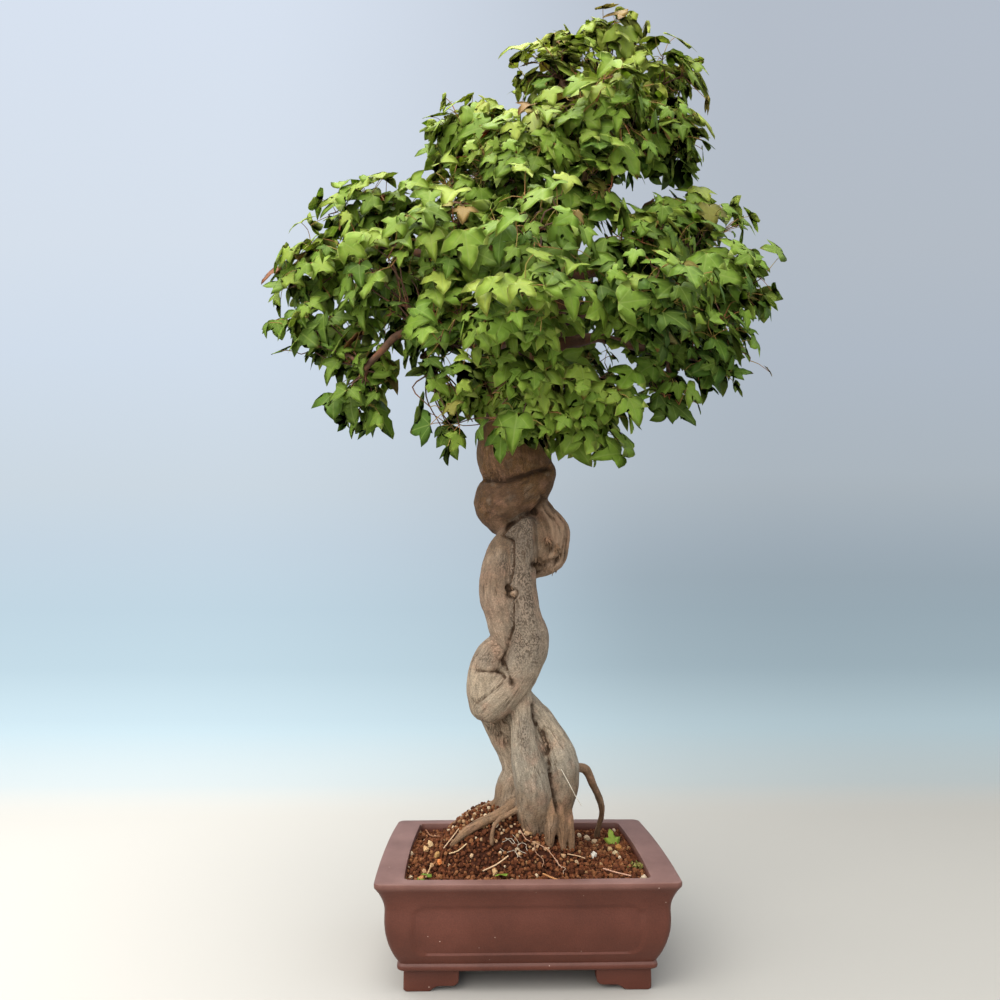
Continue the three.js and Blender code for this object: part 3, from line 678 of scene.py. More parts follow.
def makeTrunk():
    trunk = trunkSettings
    names = list(trunk["strands"])
    paths = [smoothPath(points, 5) for points in trunk["strands"].values()]
    wavy = []
    for path in paths:
        path = roundEnds(path)
        shift = np.stack([noiseAt(path[:, :3] + 300 * axis, 70, 2) for axis in range(3)], axis=1)
        thick = 1 + 0.07 * noiseAt(path[:, :3] + 900, 34, 2)
        wavy.append(np.column_stack([path[:, :3] + shift * np.minimum(path[:, 3:4] * 0.08, 1.6),
            path[:, 3] * thick + 0.6]))
    body = makeStems("trunk_strands", wavy, 20)
    applyModifier(body, "REMESH", mode="VOXEL", voxel_size=trunk["grain"] * mm, use_smooth_shade=True)
    applyModifier(body, "SMOOTH", factor=0.6, iterations=4)
    points = getPoints(body) / mm
    owner, grain = alongStrands(points, paths)
    normals = getNormals(body)
    ribs = noiseAt(grain * np.array([1, 1, 0.16]), 15, 3)
    lumps = noiseAt(points, 26, 3)
    points += normals * (ribs * 0.75 + lumps * 0.9)[:, None]
    setPoints(body, points * mm)
    normals = getNormals(body)
    # shade is painted shade for the bark's colour: folds and knot pits are painted darker the deeper they
    # are, and grooves and hollows too
    carve, shade = np.zeros(len(points)), np.zeros(len(points))
    flat = points[:, [0, 2]]
    wobble = noiseAt(points, 12, 2) * 1.4
    for line, back, width, depth in trunk["folds"]:
        near = np.exp(-((distanceToLine(flat, line) + wobble * 0.5) / width) ** 2) * (points[:, 1] < back)
        carve = np.maximum(carve, near * depth)
        shade = np.maximum(shade, near * min(1.0, depth / 3))
    lift = np.zeros(len(points))
    for x, z, back, radius, depth, plug in trunk["knots"]:
        away = np.linalg.norm(flat - (x, z), axis=1) + wobble * 0.4
        here = points[:, 1] < back
        ring = np.exp(-((away - radius * 1.25) / (radius * 0.32)) ** 2) * here
        pit = np.exp(-(away / radius) ** 4) * here
        core = np.exp(-(away / (radius * 0.5)) ** 4) * here
        lift += ring * 0.9 - pit * depth + core * plug
        shade = np.maximum(shade, pit * (1 - core if plug else 1) * min(1.0, depth / 2))
    points += normals * (lift - carve)[:, None]
    setPoints(body, points * mm)
    rough = blurField(body, (owner == names.index("shoulder")).astype(float), 3)
    rough = rough * (points[:, 1] < 12)
    grooves = np.clip(noiseAt(grain * (1, 1, 0.14) + 40, 5.5, 2) * 2.2, 0, 1) * rough
    points -= getNormals(body) * (grooves * 2.8)[:, None]
    setPoints(body, points * mm)
    shade = np.maximum(shade, grooves * 0.8)
    # painted shade in the small and wide hollows of the surface
    hollow = ((blurField(body, points, 6) - points) * getNormals(body)).sum(1)
    wide = ((blurField(body, points, 40) - points) * getNormals(body)).sum(1)
    shade = np.maximum(shade, np.clip((hollow - 0.25) / 0.9, 0, 1) * 0.75
        + np.clip((wide - 1.2) / 5, 0, 1) * 0.4)
    shade = np.clip(blurField(body, shade, 1), 0, 1)
    pittedStrand = np.array([1.0 if name.startswith("front") else 0.3 if name in ("left", "shin") else 0.08
        for name in names])
    pits = blurField(body, pittedStrand[owner], 4)
    pits *= np.clip((points[:, 2] - 320) / 30, 0, 1) * 0.8 + 0.2
    for x, z, wide, tall in trunk["greyPatches"]:
        pits = np.maximum(pits, 0.9 * np.exp(-((points[:, 0] - x) / wide) ** 2
            - ((points[:, 2] - z) / tall) ** 2) * (points[:, 1] < -5))
    pits *= 1 - 0.8 * np.clip((normals[:, 0] - 0.45) / 0.35, 0, 1)
    soiled = np.array([1.0 if name.startswith("root") else 0.4 if name == "heel" else 0.0 for name in names])
    stain = np.maximum(blurField(body, soiled[owner], 6), np.clip((208 - points[:, 2]) / 50, 0, 1) * 0.45)
    pale = rough * (1 - grooves) * 0.5
    for x, z, back, radius, depth, plug in trunk["knots"]:
        if plug > 1:
            pale = np.maximum(pale, np.exp(-(np.linalg.norm(flat - (x, z), axis=1) / (radius * 0.45)) ** 4)
                * (points[:, 1] < back))
    setAttribute(body, "barkGrain", grain * mm)
    setAttribute(body, "barkMarks", np.stack([shade, pits, pale * 0.8], axis=1))
    setAttribute(body, "barkStain", np.repeat(stain[:, None], 3, axis=1))
    bark = makeBark()
    makeShreds(points, bark)
    finishPiece(body, "twisted_trunk", bark, ["trunk"])
    print("trunk made:", len(body.data.polygons), "faces")


# loose fibres under the folds: from and to in x and z, how many, how long, and which way they hang in x
shredSettings = {
    "rows": [((-44, 266), (-18, 250), 90, (3, 9), 0.15), ((-52, 581), (-30, 572), 50, (2, 5), 0.2),
                 ((17, 470), (42, 456), 60, (3, 7), -0.2), ((19, 264), (26, 240), 24, (3, 6), 0.2),
                 ((-20, 436), (-14, 420), 14, (2, 5), 0.0), ((30, 502), (44, 480), 40, (5, 14), 0.1)],
}


def makeShreds(surface, bark):
    dice = np.random.default_rng(8)
    fibres = []
    for first, last, count, lengths, lean in shredSettings["rows"]:
        for at in range(count):
            spot = np.array(first) + (np.array(last) - first) * dice.random() + dice.normal(0, 2.6, 2)
            near = surface[np.linalg.norm(surface[:, [0, 2]] - spot, axis=1) < 3.2]
            if len(near) == 0:
                continue
            root = near[near[:, 1].argmin()] + (0, 0.5, 0)
            length = dice.uniform(*lengths)
            way = unit(np.array([lean + dice.normal(0, 0.3), -0.12 - abs(dice.normal(0, 0.22)), -1.0]))
            bend = dice.normal(0, 0.12, 3) * length
            thick = dice.uniform(0.45, 1.3)
            fibres.append(smoothPath([(*root, thick), (*(root + way * length * 0.5 + bend), thick * 0.8),
                (*(root + way * length + bend * 0.4), 0.25)], 3))
    shreds = makeStems("shreds", fibres, 6)
    points = getPoints(shreds) / mm
    setAttribute(shreds, "barkGrain", points * mm)
    # painted shade on the shreds, patchy, in the dark of the creases
    setAttribute(shreds, "barkMarks", np.column_stack([np.clip(noiseAt(points, 5, 2) + 0.25, 0, 0.7),
        np.zeros((len(points), 2))]))
    setAttribute(shreds, "barkStain", np.full((len(points), 3), 0.5))
    finishPiece(shreds, "bark_shreds", bark)


def unit(v):
    return v / np.maximum(np.linalg.norm(v, axis=-1, keepdims=True), 1e-9)


makeTrunk()

# branches: smoother and redder bark than the trunk's

branchSettings = {"grain": 1.6, "dark": "#453022", "old": "#5a4130", "young": "#70472f", "stalk": "#9c8a45",
    "stalkRed": "#98583c", "roughness": 0.7}


def makeTwigBark():
    material, add, place = startMaterial("young_maple_bark")
    marks = add("Attribute", {"attribute_name": "stemKind"})
    mark = add("SeparateXYZ", {}, {0: marks.outputs["Vector"]})  # leaf stalk, redness
    cloud = add("TexNoise", {"Scale": 70.0, "Detail": 4.0, "Roughness": 0.65}, {"Vector": place})
    wood = add("ValToRGB", {"stops": [(0.35, branchSettings["dark"]), (0.5, branchSettings["old"]),
        (0.66, branchSettings["young"])]}, {"Fac": cloud})
    stalk = add("Mix", {6: branchSettings["stalk"], 7: branchSettings["stalkRed"]}, {0: mark.outputs["Y"]})
    colour = add("Mix", {}, {0: mark.outputs["X"], 6: wood, 7: stalk})
    pores = add("TexNoise", {"Scale": 500.0, "Detail": 2.0}, {"Vector": place})
    bump = add("Bump", {"Strength": 0.4, "Distance": 0.0006}, {"Height": pores})
    surface = add("BsdfPrincipled", {"Roughness": branchSettings["roughness"], "IOR": 1.45,
        "Specular IOR Level": 0.3}, {"Base Color": colour, "Normal": bump})
    add("OutputMaterial", {}, {"Surface": surface})
    return material


def makeBranches(bark):
    spots = []
    for name in sorted(nodes):
        if not name.startswith("branch_"):
            continue
        limb = nodes[name].copy()
        limb.data = nodes[name].data.copy()
        limb.parent = None
        bpy.context.scene.collection.objects.link(limb)
        limb.matrix_world = Matrix.Identity(4)
        editAll(limb)
        bpy.ops.mesh.remove_doubles(threshold=0.00002)
        bpy.ops.object.mode_set(mode="OBJECT")
        applyModifier(limb, "REMESH", mode="VOXEL", voxel_size=branchSettings["grain"] * mm,
            use_smooth_shade=True)
        applyModifier(limb, "SMOOTH", factor=0.6, iterations=6)
        points = getPoints(limb) / mm
        swell = noiseAt(points, 22, 3) * 0.9 + noiseAt(points, 7, 2) * 0.35 + 0.35
        setPoints(limb, (points + getNormals(limb) * swell[:, None]) * mm)
        setAttribute(limb, "stemKind", np.zeros((len(points), 3)))
        finishPiece(limb, name.replace("branch_", "limb_"), bark, [name])
        spots.append(points[::14])
    return np.vstack(spots)


# leaves: a trident maple's, three lobes on a round base

leafSettings = {
    "width": 40.0, "deep": "#56792b", "middle": "#89ac3c", "light": "#b7c857", "edge": "#cdd374",
    "vein": "#9db45c",
    "young": "#a0654a", "burnt": "#6d3a1e", "roughness": 0.5, "spacing": 24.2, "gap": 0.25, "top": 1196,
    "front": -219,
    # leaves that hang in front of the top of the trunk
    "hangingFrom": "foliage_low_front",
    "hanging": [(-51, -40, 707), (-36, -46, 689), (-20, -48, 699), (-5, -50, 683), (-29, -50, 668),
                (-46, -44, 674), (-14, -52, 658), (3, -52, 665), (-39, -48, 649), (13, -50, 647),
                (-54, -38, 658), (-65, -30, 679), (-98, -20, 636), (-90, -22, 617), (22, -46, 628),
                (35, -40, 611), (-57, -36, 692), (-23, -50, 678), (-4, -48, 702)],
    # half of the outline from the stalk to the tip, as shares of the width
    "outline": [(0.0, 0.0), (0.11, -0.04), (0.23, -0.035), (0.35, 0.03), (0.46, 0.17), (0.57, 0.44),
                (0.43, 0.44), (0.31, 0.415), (0.22, 0.46), (0.225, 0.60), (0.175, 0.75), (0.085, 0.90),
                (0.0, 1.0)],
    # each layer's share of leaves, how far in it lies, how far inside a neighbour it stops, and its order
    "layers": [(1.0, (-3, 22), 0.92, 0), (0.40, (22, 36), 0.80, 1), (0.16, (36, 52), 0.66, 2),
               (0.28, (-15, -3), 1.0, 3)],
    # how wide, how long, how far the lobes spread, the fold along the middle, how far the tip and sides hang
    "variants": [(1.08, 0.98, 0.0, 0.10, 0.14, 0.18), (1.16, 0.90, 0.06, 0.16, 0.22, 0.26),
                 (1.00, 1.02, -0.05, 0.05, 0.26, 0.12), (1.10, 0.95, 0.03, 0.24, 0.08, 0.36),
                 (0.94, 0.98, -0.08, 0.46, 0.36, 0.16)],
}


def makeLeafShape(wide, long, spread, fold, tipDrop, sideDrop):
    half = leafSettings["outline"]
    rim = [(x, y) for x, y in half] + [(-x, y) for x, y in half[-2:0:-1]]
    clearSelection()
    bpy.ops.mesh.primitive_circle_add(vertices=len(rim), fill_type="NGON")
    leaf = bpy.context.object
    setPoints(leaf, [(x * (wide + spread * y), y * long, 0) for x, y in rim])
    editAll(leaf, "FACE")
    bpy.ops.mesh.extrude_region_move()
    bpy.ops.transform.resize(value=(0.52, 0.6, 1), center_override=(0, 0.40 * long, 0))
    bpy.ops.mesh.poke()
    bpy.ops.object.mode_set(mode="OBJECT")
    mesh = bmesh.new()
    mesh.from_mesh(leaf.data)
    bmesh.ops.recalc_face_normals(mesh, faces=mesh.faces)
    if sum(f.normal.z for f in mesh.faces) < 0:
        bmesh.ops.reverse_faces(mesh, faces=mesh.faces)
    mesh.to_mesh(leaf.data)
    mesh.free()
    points = getPoints(leaf)
    edge = np.zeros(len(points))
    edge[:len(rim)] = 1
    plan = np.column_stack([points[:, 0], points[:, 1], edge])
    x, y = points[:, 0], points[:, 1]
    points[:, 2] = (fold * np.abs(x) * 0.8 - sideDrop * x * x * 1.6 - tipDrop * np.maximum(y - 0.25, 0) ** 2
        + 0.014 * edge * np.sin(y * 17 + x * 9))
    points[:, 1] -= 0.06 * np.abs(points[:, 2])
    faces = [tuple(face.vertices) for face in leaf.data.polygons]
    bpy.data.objects.remove(leaf)
    return points, plan, faces


def makeLeafGreen():
    material, add, place = startMaterial("trident_maple_leaf")
    plan = add("Attribute", {"attribute_name": "leafPlan"})
    tint = add("Attribute", {"attribute_name": "leafTint"})
    at = add("SeparateXYZ", {}, {0: plan.outputs["Vector"]})  # across, along, edge
    kind = add("SeparateXYZ", {}, {0: tint.outputs["Vector"]})  # painted light and shade, redness, burn
    mottle = add("TexNoise", {"Scale": 130.0, "Detail": 3.0}, {"Vector": place})
    shift = add("MapRange", {"range": (0.3, 0.7, -0.1, 0.1)}, {"Value": mottle})
    # the green runs from deep to light with the leaf's painted light and shade, mottled a little
    light = add("Math", {"operation": "ADD"}, {0: kind.outputs["X"], 1: shift})
    green = add("ValToRGB", {"stops": [(0.0, leafSettings["deep"]), (0.5, leafSettings["middle"]),
        (1.0, leafSettings["light"])]}, {"Fac": light})
    across = add("Math", {"operation": "ABSOLUTE"}, {0: at.outputs["X"]})
    # the side veins run from the stalk to the side lobes, where across is 0.92 times along
    slope = add("Math", {"operation": "MULTIPLY_ADD", 1: -0.92, 2: 0.0}, {0: at.outputs["Y"]})
    toSide = add("Math", {"operation": "ADD"}, {0: across, 1: slope})
    sideAway = add("Math", {"operation": "ABSOLUTE"}, {0: toSide})
    away = add("Math", {"operation": "MINIMUM"}, {0: across, 1: sideAway})
    veinMask = add("MapRange", {"range": (0.008, 0.03, 0.38, 0.0)}, {"Value": away})
    veined = add("Mix", {7: leafSettings["vein"]}, {0: veinMask, 6: green})
    # pale margins, shown as strongly as the leaf is painted lit
    edgeMask = add("MapRange", {"range": (0.78, 1.0, 0.0, 0.75)}, {"Value": at.outputs["Z"]})
    edgeLight = add("Math", {"operation": "MULTIPLY"}, {0: edgeMask, 1: kind.outputs["X"]})
    edged = add("Mix", {7: leafSettings["edge"]}, {0: edgeLight, 6: veined})
    reddened = add("Mix", {7: leafSettings["young"]}, {0: kind.outputs["Y"], 6: edged})
    reach = add("Math", {"operation": "ADD"}, {0: at.outputs["Y"], 1: shift})
    far = add("MapRange", {"range": (0.84, 0.98, 0.0, 1.0)}, {"Value": reach})
    burnMask = add("Math", {"operation": "MULTIPLY"}, {0: far, 1: kind.outputs["Z"]})
    colour = add("Mix", {7: leafSettings["burnt"]}, {0: burnMask, 6: reddened})
    relief = add("Math", {"operation": "SUBTRACT"}, {0: mottle, 1: veinMask})
    bump = add("Bump", {"Strength": 0.35, "Distance": 0.0008}, {"Height": relief})
    skin = add("BsdfPrincipled", {"Roughness": leafSettings["roughness"], "IOR": 1.45,
        "Specular IOR Level": 0.25}, {"Base Color": colour, "Normal": bump})
    glow = add("BsdfTranslucent", {}, {"Color": colour, "Normal": bump})
    surface = add("MixShader", {0: 0.46}, {1: skin, 2: glow})
    add("OutputMaterial", {}, {"Surface": surface})
    return material


def readPads():
    pads = {}
    for name in sorted(nodes):
        if name.startswith("foliage_"):
            low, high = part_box(name)
            pads[name] = (np.array((low + high) / 2) / mm, np.array((high - low) / 2) / mm)
    return pads


def spreadOver(count, dice):  # evenly spread directions, a little shaken
    at = np.arange(count) + 0.5
    height = 1 - 2 * at / count
    turn = at * math.pi * (3 - math.sqrt(5)) + dice.uniform(0, 6.28)
    flat = np.sqrt(1 - height ** 2)
    ways = np.stack([flat * np.cos(turn), flat * np.sin(turn), height], axis=1)
    ways += dice.normal(0, 0.10, ways.shape)
    return ways / np.linalg.norm(ways, axis=1)[:, None]


def placeLeaves(name, pads, dice):
    centre, half = pads[name]
    area = 4 * math.pi * ((half[0] * half[1]) ** 1.6 / 3 + (half[0] * half[2]) ** 1.6 / 3
        + (half[1] * half[2]) ** 1.6 / 3) ** (1 / 1.6)
    spots = []
    for share, back, insideLimit, layer in leafSettings["layers"]:
        ways = spreadOver(round(area * share / leafSettings["spacing"] ** 2), dice)
        reach = 1 - dice.uniform(*back, len(ways)) / half.mean()
        lumps = noiseAt(ways * 60 + centre, 45, 2) * 0.12
        points = centre + ways * half * (reach + lumps)[:, None] + dice.normal(0, 3.5, (len(ways), 3))
        gaps = np.maximum(noiseAt(points * (1, 0.16, 1), 44, 2), noiseAt(points * (0.16, 1, 1) + 500, 44, 2))
        stray = dice.random(len(points)) < 0.08 * (layer == 0)
        points += ways * (stray * dice.uniform(5, 20, len(points)))[:, None]
        points[:, 2] = np.minimum(points[:, 2], leafSettings["top"]
            + 0.35 * (points[:, 2] - leafSettings["top"]))
        points[:, 1] = np.maximum(points[:, 1], leafSettings["front"]
            + 0.3 * (points[:, 1] - leafSettings["front"]))
        # openings in the noise show the sky from each side
        for point, way, gap, far in zip(points, ways, gaps, stray):
            reaches = [np.linalg.norm((point - c) / h) for other, (c, h) in pads.items() if other != name]
            between = layer < 3 or min(reaches) < back[0] / -half.mean() + 1.12
            if gap < leafSettings["gap"] and min(reaches) > insideLimit and between:
                spots.append((point, way, layer, far))
    if name == leafSettings["hangingFrom"]:
        spots += [(np.array(spot) + dice.normal(0, 2, 3), unit(np.array([0.0, -1.0, -0.3])), 0, False)
            for spot in leafSettings["hanging"]]
    return spots


def finishLeaves(name, copies, plans, tints, green, standsFor=()):
    leaves = meshOfCopies(name, copies)
    setAttribute(leaves, "leafPlan", np.vstack(plans))
    setAttribute(leaves, "leafTint", np.repeat(tints, [len(plan) for plan in plans], axis=0))
    finishPiece(leaves, name, green, standsFor)


# shoots from a limb, and a stalk to each leaf
def makeShoots(name, centre, half, anchor, starts, bark, dice):
    tips = centre + spreadOver(13, dice) * half * dice.uniform(0.42, 0.62, 13)[:, None]
    owner = np.linalg.norm(starts[:, None] - tips[None], axis=2).argmin(1)
    heart = centre * 0.6 + anchor * 0.4
    middle = anchor * 0.5 + heart * 0.5 + dice.normal(0, 4, 3)
    woody, stalks = [smoothPath([(*anchor, 2.6), (*middle, 2.3), (*heart, 2.0)], 12)], []
    for tip in tips:
        fork = woody[0][int(len(woody[0]) * dice.uniform(0.25, 1.0)) - 1][:3]
        middle = fork * 0.5 + tip * 0.5 + dice.normal(0, 7, 3)
        woody.append(smoothPath([(*fork, 1.2), (*middle, 0.95), (*tip, 0.7)], 12))
    for start, root in zip(starts, tips[owner]):
        path = start - root
        gap = np.linalg.norm(path)
        base = root if gap < 34 else start - path / gap * 30
        bend = (base + start) / 2 + (0, 0, 3.0) + dice.normal(0, 1.6, 3)
        stalks.append(smoothPath([(*base, 0.62), (*bend, 0.48), (*start, 0.42)], 9))
        if gap >= 34:
            knee = root * 0.45 + base * 0.55 + dice.normal(0, 4, 3)
            woody.append(smoothPath([(*root, 0.8), (*knee, 0.7), (*base, 0.62)], 14))
    wood, stems = makeStems("wood", woody, 6), makeStems("stems", stalks, 4)
    setAttribute(wood, "stemKind", np.zeros((len(wood.data.vertices), 3)))
    redness = np.clip(noiseAt(getPoints(stems) / mm, 25, 2) * 1.2 + 0.35, 0, 1)
    setAttribute(stems, "stemKind", np.column_stack([np.ones(len(redness)), redness, np.zeros(len(redness))]))
    shoots = joinAll([wood, stems])
    bpy.ops.object.shade_smooth()
    finishPiece(shoots, name, bark)


def makeCanopy(limbPoints, bark, green):
    dice = np.random.default_rng(41)
    shapes = [makeLeafShape(*variant) for variant in leafSettings["variants"]]
    pads = readPads()
    crown = np.array([0, 0, 880.0])
    total = 0
    for name, (centre, half) in pads.items():
        spots = placeLeaves(name, pads, dice)
        points, ways, layers, strays = (np.array(column) for column in zip(*spots))
        count = len(points)
        total += count
        outward = unit(ways / half) * 0.8 + unit((points - crown) * (1, 1, 0.5)) * 0.5
        flat = unit(outward * (1, 1, 0))
        rise = np.clip(unit(outward)[:, 2:3], 0, 1)
        up = np.array([0, 0, 1.0])
        face = unit(flat * (0.85 - 0.4 * rise) + up * (0.40 + 0.60 * rise) + np.array([0.0, -0.30, 0.0])
            + dice.normal(0, 0.34, (count, 3)) * (1, 1, 0.7))
        lean = -up * 0.8 + flat * 0.2 + dice.normal(0, 0.6, (count, 3)) * (1.25, 1.25, 0.8)
        lean[:, 2] += rise[:, 0] * 0.5
        tip = unit(lean - (lean * face).sum(1)[:, None] * face)
        side = np.cross(tip, face)
        size = leafSettings["width"] * np.clip(dice.normal(0.87, 0.22, count), 0.45, 1.3)
        size *= np.where(dice.random(count) < np.where(strays, 0.5, 0.1), 0.62, 1.0)
        # painted light and shade: leaves on the upper side of a pad, higher up and further left are lighter,
        # inner layers darker; low leaves near the middle lighter and low leaves at the sides darker; the rest
        # is random
        tone = 0.46 + 0.22 * ways[:, 2] + dice.normal(0, 0.16, count) - 0.06 * (layers % 3)
        tone += 0.0016 * np.maximum(points[:, 2] - 930, 0) - 0.0003 * points[:, 0]
        tone += np.where(np.abs(points[:, 0] - 20) < 110, 0.0005, -0.0014) * np.maximum(850 - points[:, 2], 0)
        turning = dice.random(count) < 0.012 + 0.04 * rise[:, 0] * (layers == 0) + 0.2 * strays
        red = np.where(turning, dice.uniform(0.35, 0.95, count), dice.uniform(0, 0.08, count))
        burn = np.where(dice.random(count) < 0.3, dice.uniform(0.4, 1.0, count), 0)
        kinds = dice.integers(0, len(shapes), count)
        copies, plans = [], []
        for at in range(count):
            shape, plan, faces = shapes[kinds[at]]
            leaf = (shape - (0, 0.45, 0)) * size[at]
            leaf[:, 2] *= 1.0 + 0.5 * dice.random()
            copies.append((points[at] + leaf @ np.array([side[at], tip[at], face[at]]), faces))
            plans.append(plan)
        tints = np.stack([tone, red, burn], axis=1)
        finishLeaves(name.replace("foliage_", "leaves_"), copies, plans, tints, green, [name])
        anchor = limbPoints[np.linalg.norm(limbPoints - centre, axis=1).argmin()]
        starts = points - tip * size[:, None] * 0.45
        makeShoots(name.replace("foliage_", "shoots_"), centre, half, anchor, starts, bark, dice)
    print("canopy made:", total, "leaves")


twigBark, leafGreen = makeTwigBark(), makeLeafGreen()
limbPoints = makeBranches(twigBark)
print("branches made")
makeCanopy(limbPoints, twigBark, leafGreen)

# soil: fired red clay granules with pumice, heaped round the trunk

soilSettings = {
    "edge": 111.0, "heap": 58.0, "heapAt": (-22.0, 4.0), "heapSize": (76.0, 59.0), "spacing": 4.3,
    "roughness": 0.92, "bed": "#34190c", "bedDepth": 14.0,
    "granules": ["#5a321c", "#4a2614", "#653a20", "#71462a", "#3d1f0e", "#61351d", "#502b18", "#7d5233"],
    "pumice": ["#ad9070", "#967654", "#bda688", "#8a6a48", "#a17f5e"],
    # place, radius and colour of each larger stone
    "stones": [((120, 17.8, 113.6), 5.0, "#9c6c39"), ((82.9, -25, 118.2), 4.2, "#bdb6aa"),
               ((108, 12, 113.5), 4.2, "#a98c62"), ((112, 0, 113.2), 4.0, "#b3a07c"),
               ((-102, -46, 127), 4.4, "#a07c4d"), ((-117, -22, 126), 4.0, "#b49066"),
               ((-112, -18, 130), 4.6, "#bda078"), ((-99, -58, 122), 3.6, "#c0723f"),
               ((84, 44, 118), 4.4, "#b69d80"), ((74, 52, 119), 4.0, "#c2ab8c"),
               ((92, 36, 116), 4.6, "#a99072"), ((66, 60, 118), 3.8, "#bfa27f"),
               ((129, -88, 113), 4.4, "#b9a78f"), ((-36, -78, 117), 4.4, "#b08f66"),
               ((-118, -84, 113.5), 4.2, "#c08a55")],
}


def soilHeight(x, y):
    fromX = np.abs((x - soilSettings["heapAt"][0]) / soilSettings["heapSize"][0])
    fromY = np.abs((y - soilSettings["heapAt"][1]) / soilSettings["heapSize"][1])
    return soilSettings["edge"] + soilSettings["heap"] * np.exp(-fromX ** 3 - fromY ** 3)


def makeEarth():
    material, add, place = startMaterial("akadama_clay_granules")
    tone = add("Attribute", {"attribute_name": "earthTone"})
    # crumbs of 1 mm on each granule
    crumb = add("TexNoise", {"Scale": 900.0, "Detail": 3.0, "Roughness": 0.7}, {"Vector": place})
    shade = add("MapRange", {"range": (0.3, 0.7, 0.62, 1.3)}, {"Value": crumb})
    colour = add("Mix", {"blend_type": "MULTIPLY", 0: 1.0}, {6: tone.outputs["Color"], 7: shade})
    bump = add("Bump", {"Strength": 0.6, "Distance": 0.0007}, {"Height": crumb})
    surface = add("BsdfPrincipled", {"Roughness": soilSettings["roughness"], "IOR": 1.45,
        "Specular IOR Level": 0.2}, {"Base Color": colour, "Normal": bump})
    add("OutputMaterial", {}, {"Surface": surface})
    return material


def paint(thing, colours):
    setAttribute(thing, "earthTone", np.array([toLinear(c)[:3] for c in colours]))


def makeSoilBed(earth):
    low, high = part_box("soil")
    halfX, halfY = (high.x - low.x) / 2 / mm, (high.y - low.y) / 2 / mm
    clearSelection()
    bpy.ops.mesh.primitive_grid_add(x_subdivisions=110, y_subdivisions=84, size=2)
    bed = bpy.context.object
    points = getPoints(bed)
    points[:, 0] *= halfX - 1
    points[:, 1] *= halfY - 1
    points[:, 2] = soilHeight(points[:, 0], points[:, 1]) - 2.4 + noiseAt(points, 9, 2) * 1.1
    setPoints(bed, points * mm)
    editAll(bed)
    bpy.ops.mesh.extrude_region_move(TRANSFORM_OT_translate={"value": (0, 0, -soilSettings["bedDepth"] * mm)})
    bpy.ops.object.mode_set(mode="OBJECT")
    outwards(bed)
    paint(bed, [soilSettings["bed"]] * len(bed.data.vertices))
    finishPiece(bed, "soil_bed", earth, ["soil"])
    return halfX, halfY


def makeGranuleShapes(dice, count):  # broken lumps, each with twenty faces
    shapes = []
    for at in range(count):
        clearSelection()
        bpy.ops.mesh.primitive_ico_sphere_add(subdivisions=1, radius=1)
        lump = bpy.context.object
        points = getPoints(lump)
        points *= dice.uniform(0.74, 1.2, (len(points), 1))
        points *= dice.uniform(0.72, 1.15, 3)
        faces = [tuple(face.vertices) for face in lump.data.polygons]
        shapes.append((points, faces))
        bpy.data.objects.remove(lump)
    return shapes


def scatterLumps(name, shapes, spots, sizes, colours, dice, material, slotName):
    copies, tones = [], []
    for spot, size, colour in zip(spots, sizes, colours):
        points, faces = shapes[dice.integers(len(shapes))]
        turn = np.array(Matrix.Rotation(dice.uniform(0, 6.28), 3, Vector(dice.normal(0, 1, 3)).normalized()))
        copies.append((points @ turn * size + spot, faces))
        tones += [colour] * len(points)
    lumps = meshOfCopies(name, copies, smooth=False)
    paint(lumps, tones)
    outwards(lumps)
    return finishPiece(lumps, name, material)


def makeGranules(halfX, halfY, earth):
    dice = np.random.default_rng(7)
    shapes = makeGranuleShapes(dice, 9)
    step = soilSettings["spacing"]
    spots, sizes, colours = [], [], []
    for layer, (spread, shift) in enumerate(((1.0, -1.2), (1.45, 0.6))):
        for x in np.arange(-halfX + 3, halfX - 2, step * spread):
            for y in np.arange(-halfY + 3, halfY - 2, step * spread):
                px, py = x + dice.uniform(-1.8, 1.8), y + dice.uniform(-1.8, 1.8)
                px, py = np.clip(px, 3.2 - halfX, halfX - 3.2), np.clip(py, 3.2 - halfY, halfY - 3.2)
                z = soilHeight(px, py) + shift + dice.uniform(-0.6, 0.8)
                size = float(np.clip(dice.normal(2.15 + 0.4 * layer, 0.55), 1.2, 4.4))
                nearTrunk = math.exp(-((px - 4) / 44) ** 2 - ((py + 14) / 40) ** 2)
                patch = noise.noise(Vector((px / 30, py / 30, 3.1)))
                chance = 0.012 + 0.42 * nearTrunk * max(0, 0.6 + patch) + 0.06 * max(0, patch)
                chance += 0.4 * math.exp(-((px + 52) / 26) ** 2 - ((py + 16) / 22) ** 2)
                if abs(px) > halfX - 12 and patch > 0:
                    chance += 0.08
                kind = "pumice" if dice.random() < chance else "granules"
                colour = soilSettings[kind][dice.integers(len(soilSettings[kind]))]
                spots.append((px, py, z))
                sizes.append(size)
                colours.append(colour)
    scatterLumps("soil_granules", shapes, spots, sizes, colours, dice, earth, "soil")
    scatterLumps("soil_stones", shapes, *zip(*soilSettings["stones"]), dice, earth, "soil")
    print("soil made:", len(spots), "granules")


# small finds on the soil: straws, feeder roots, dropped leaves and a tuft of moss

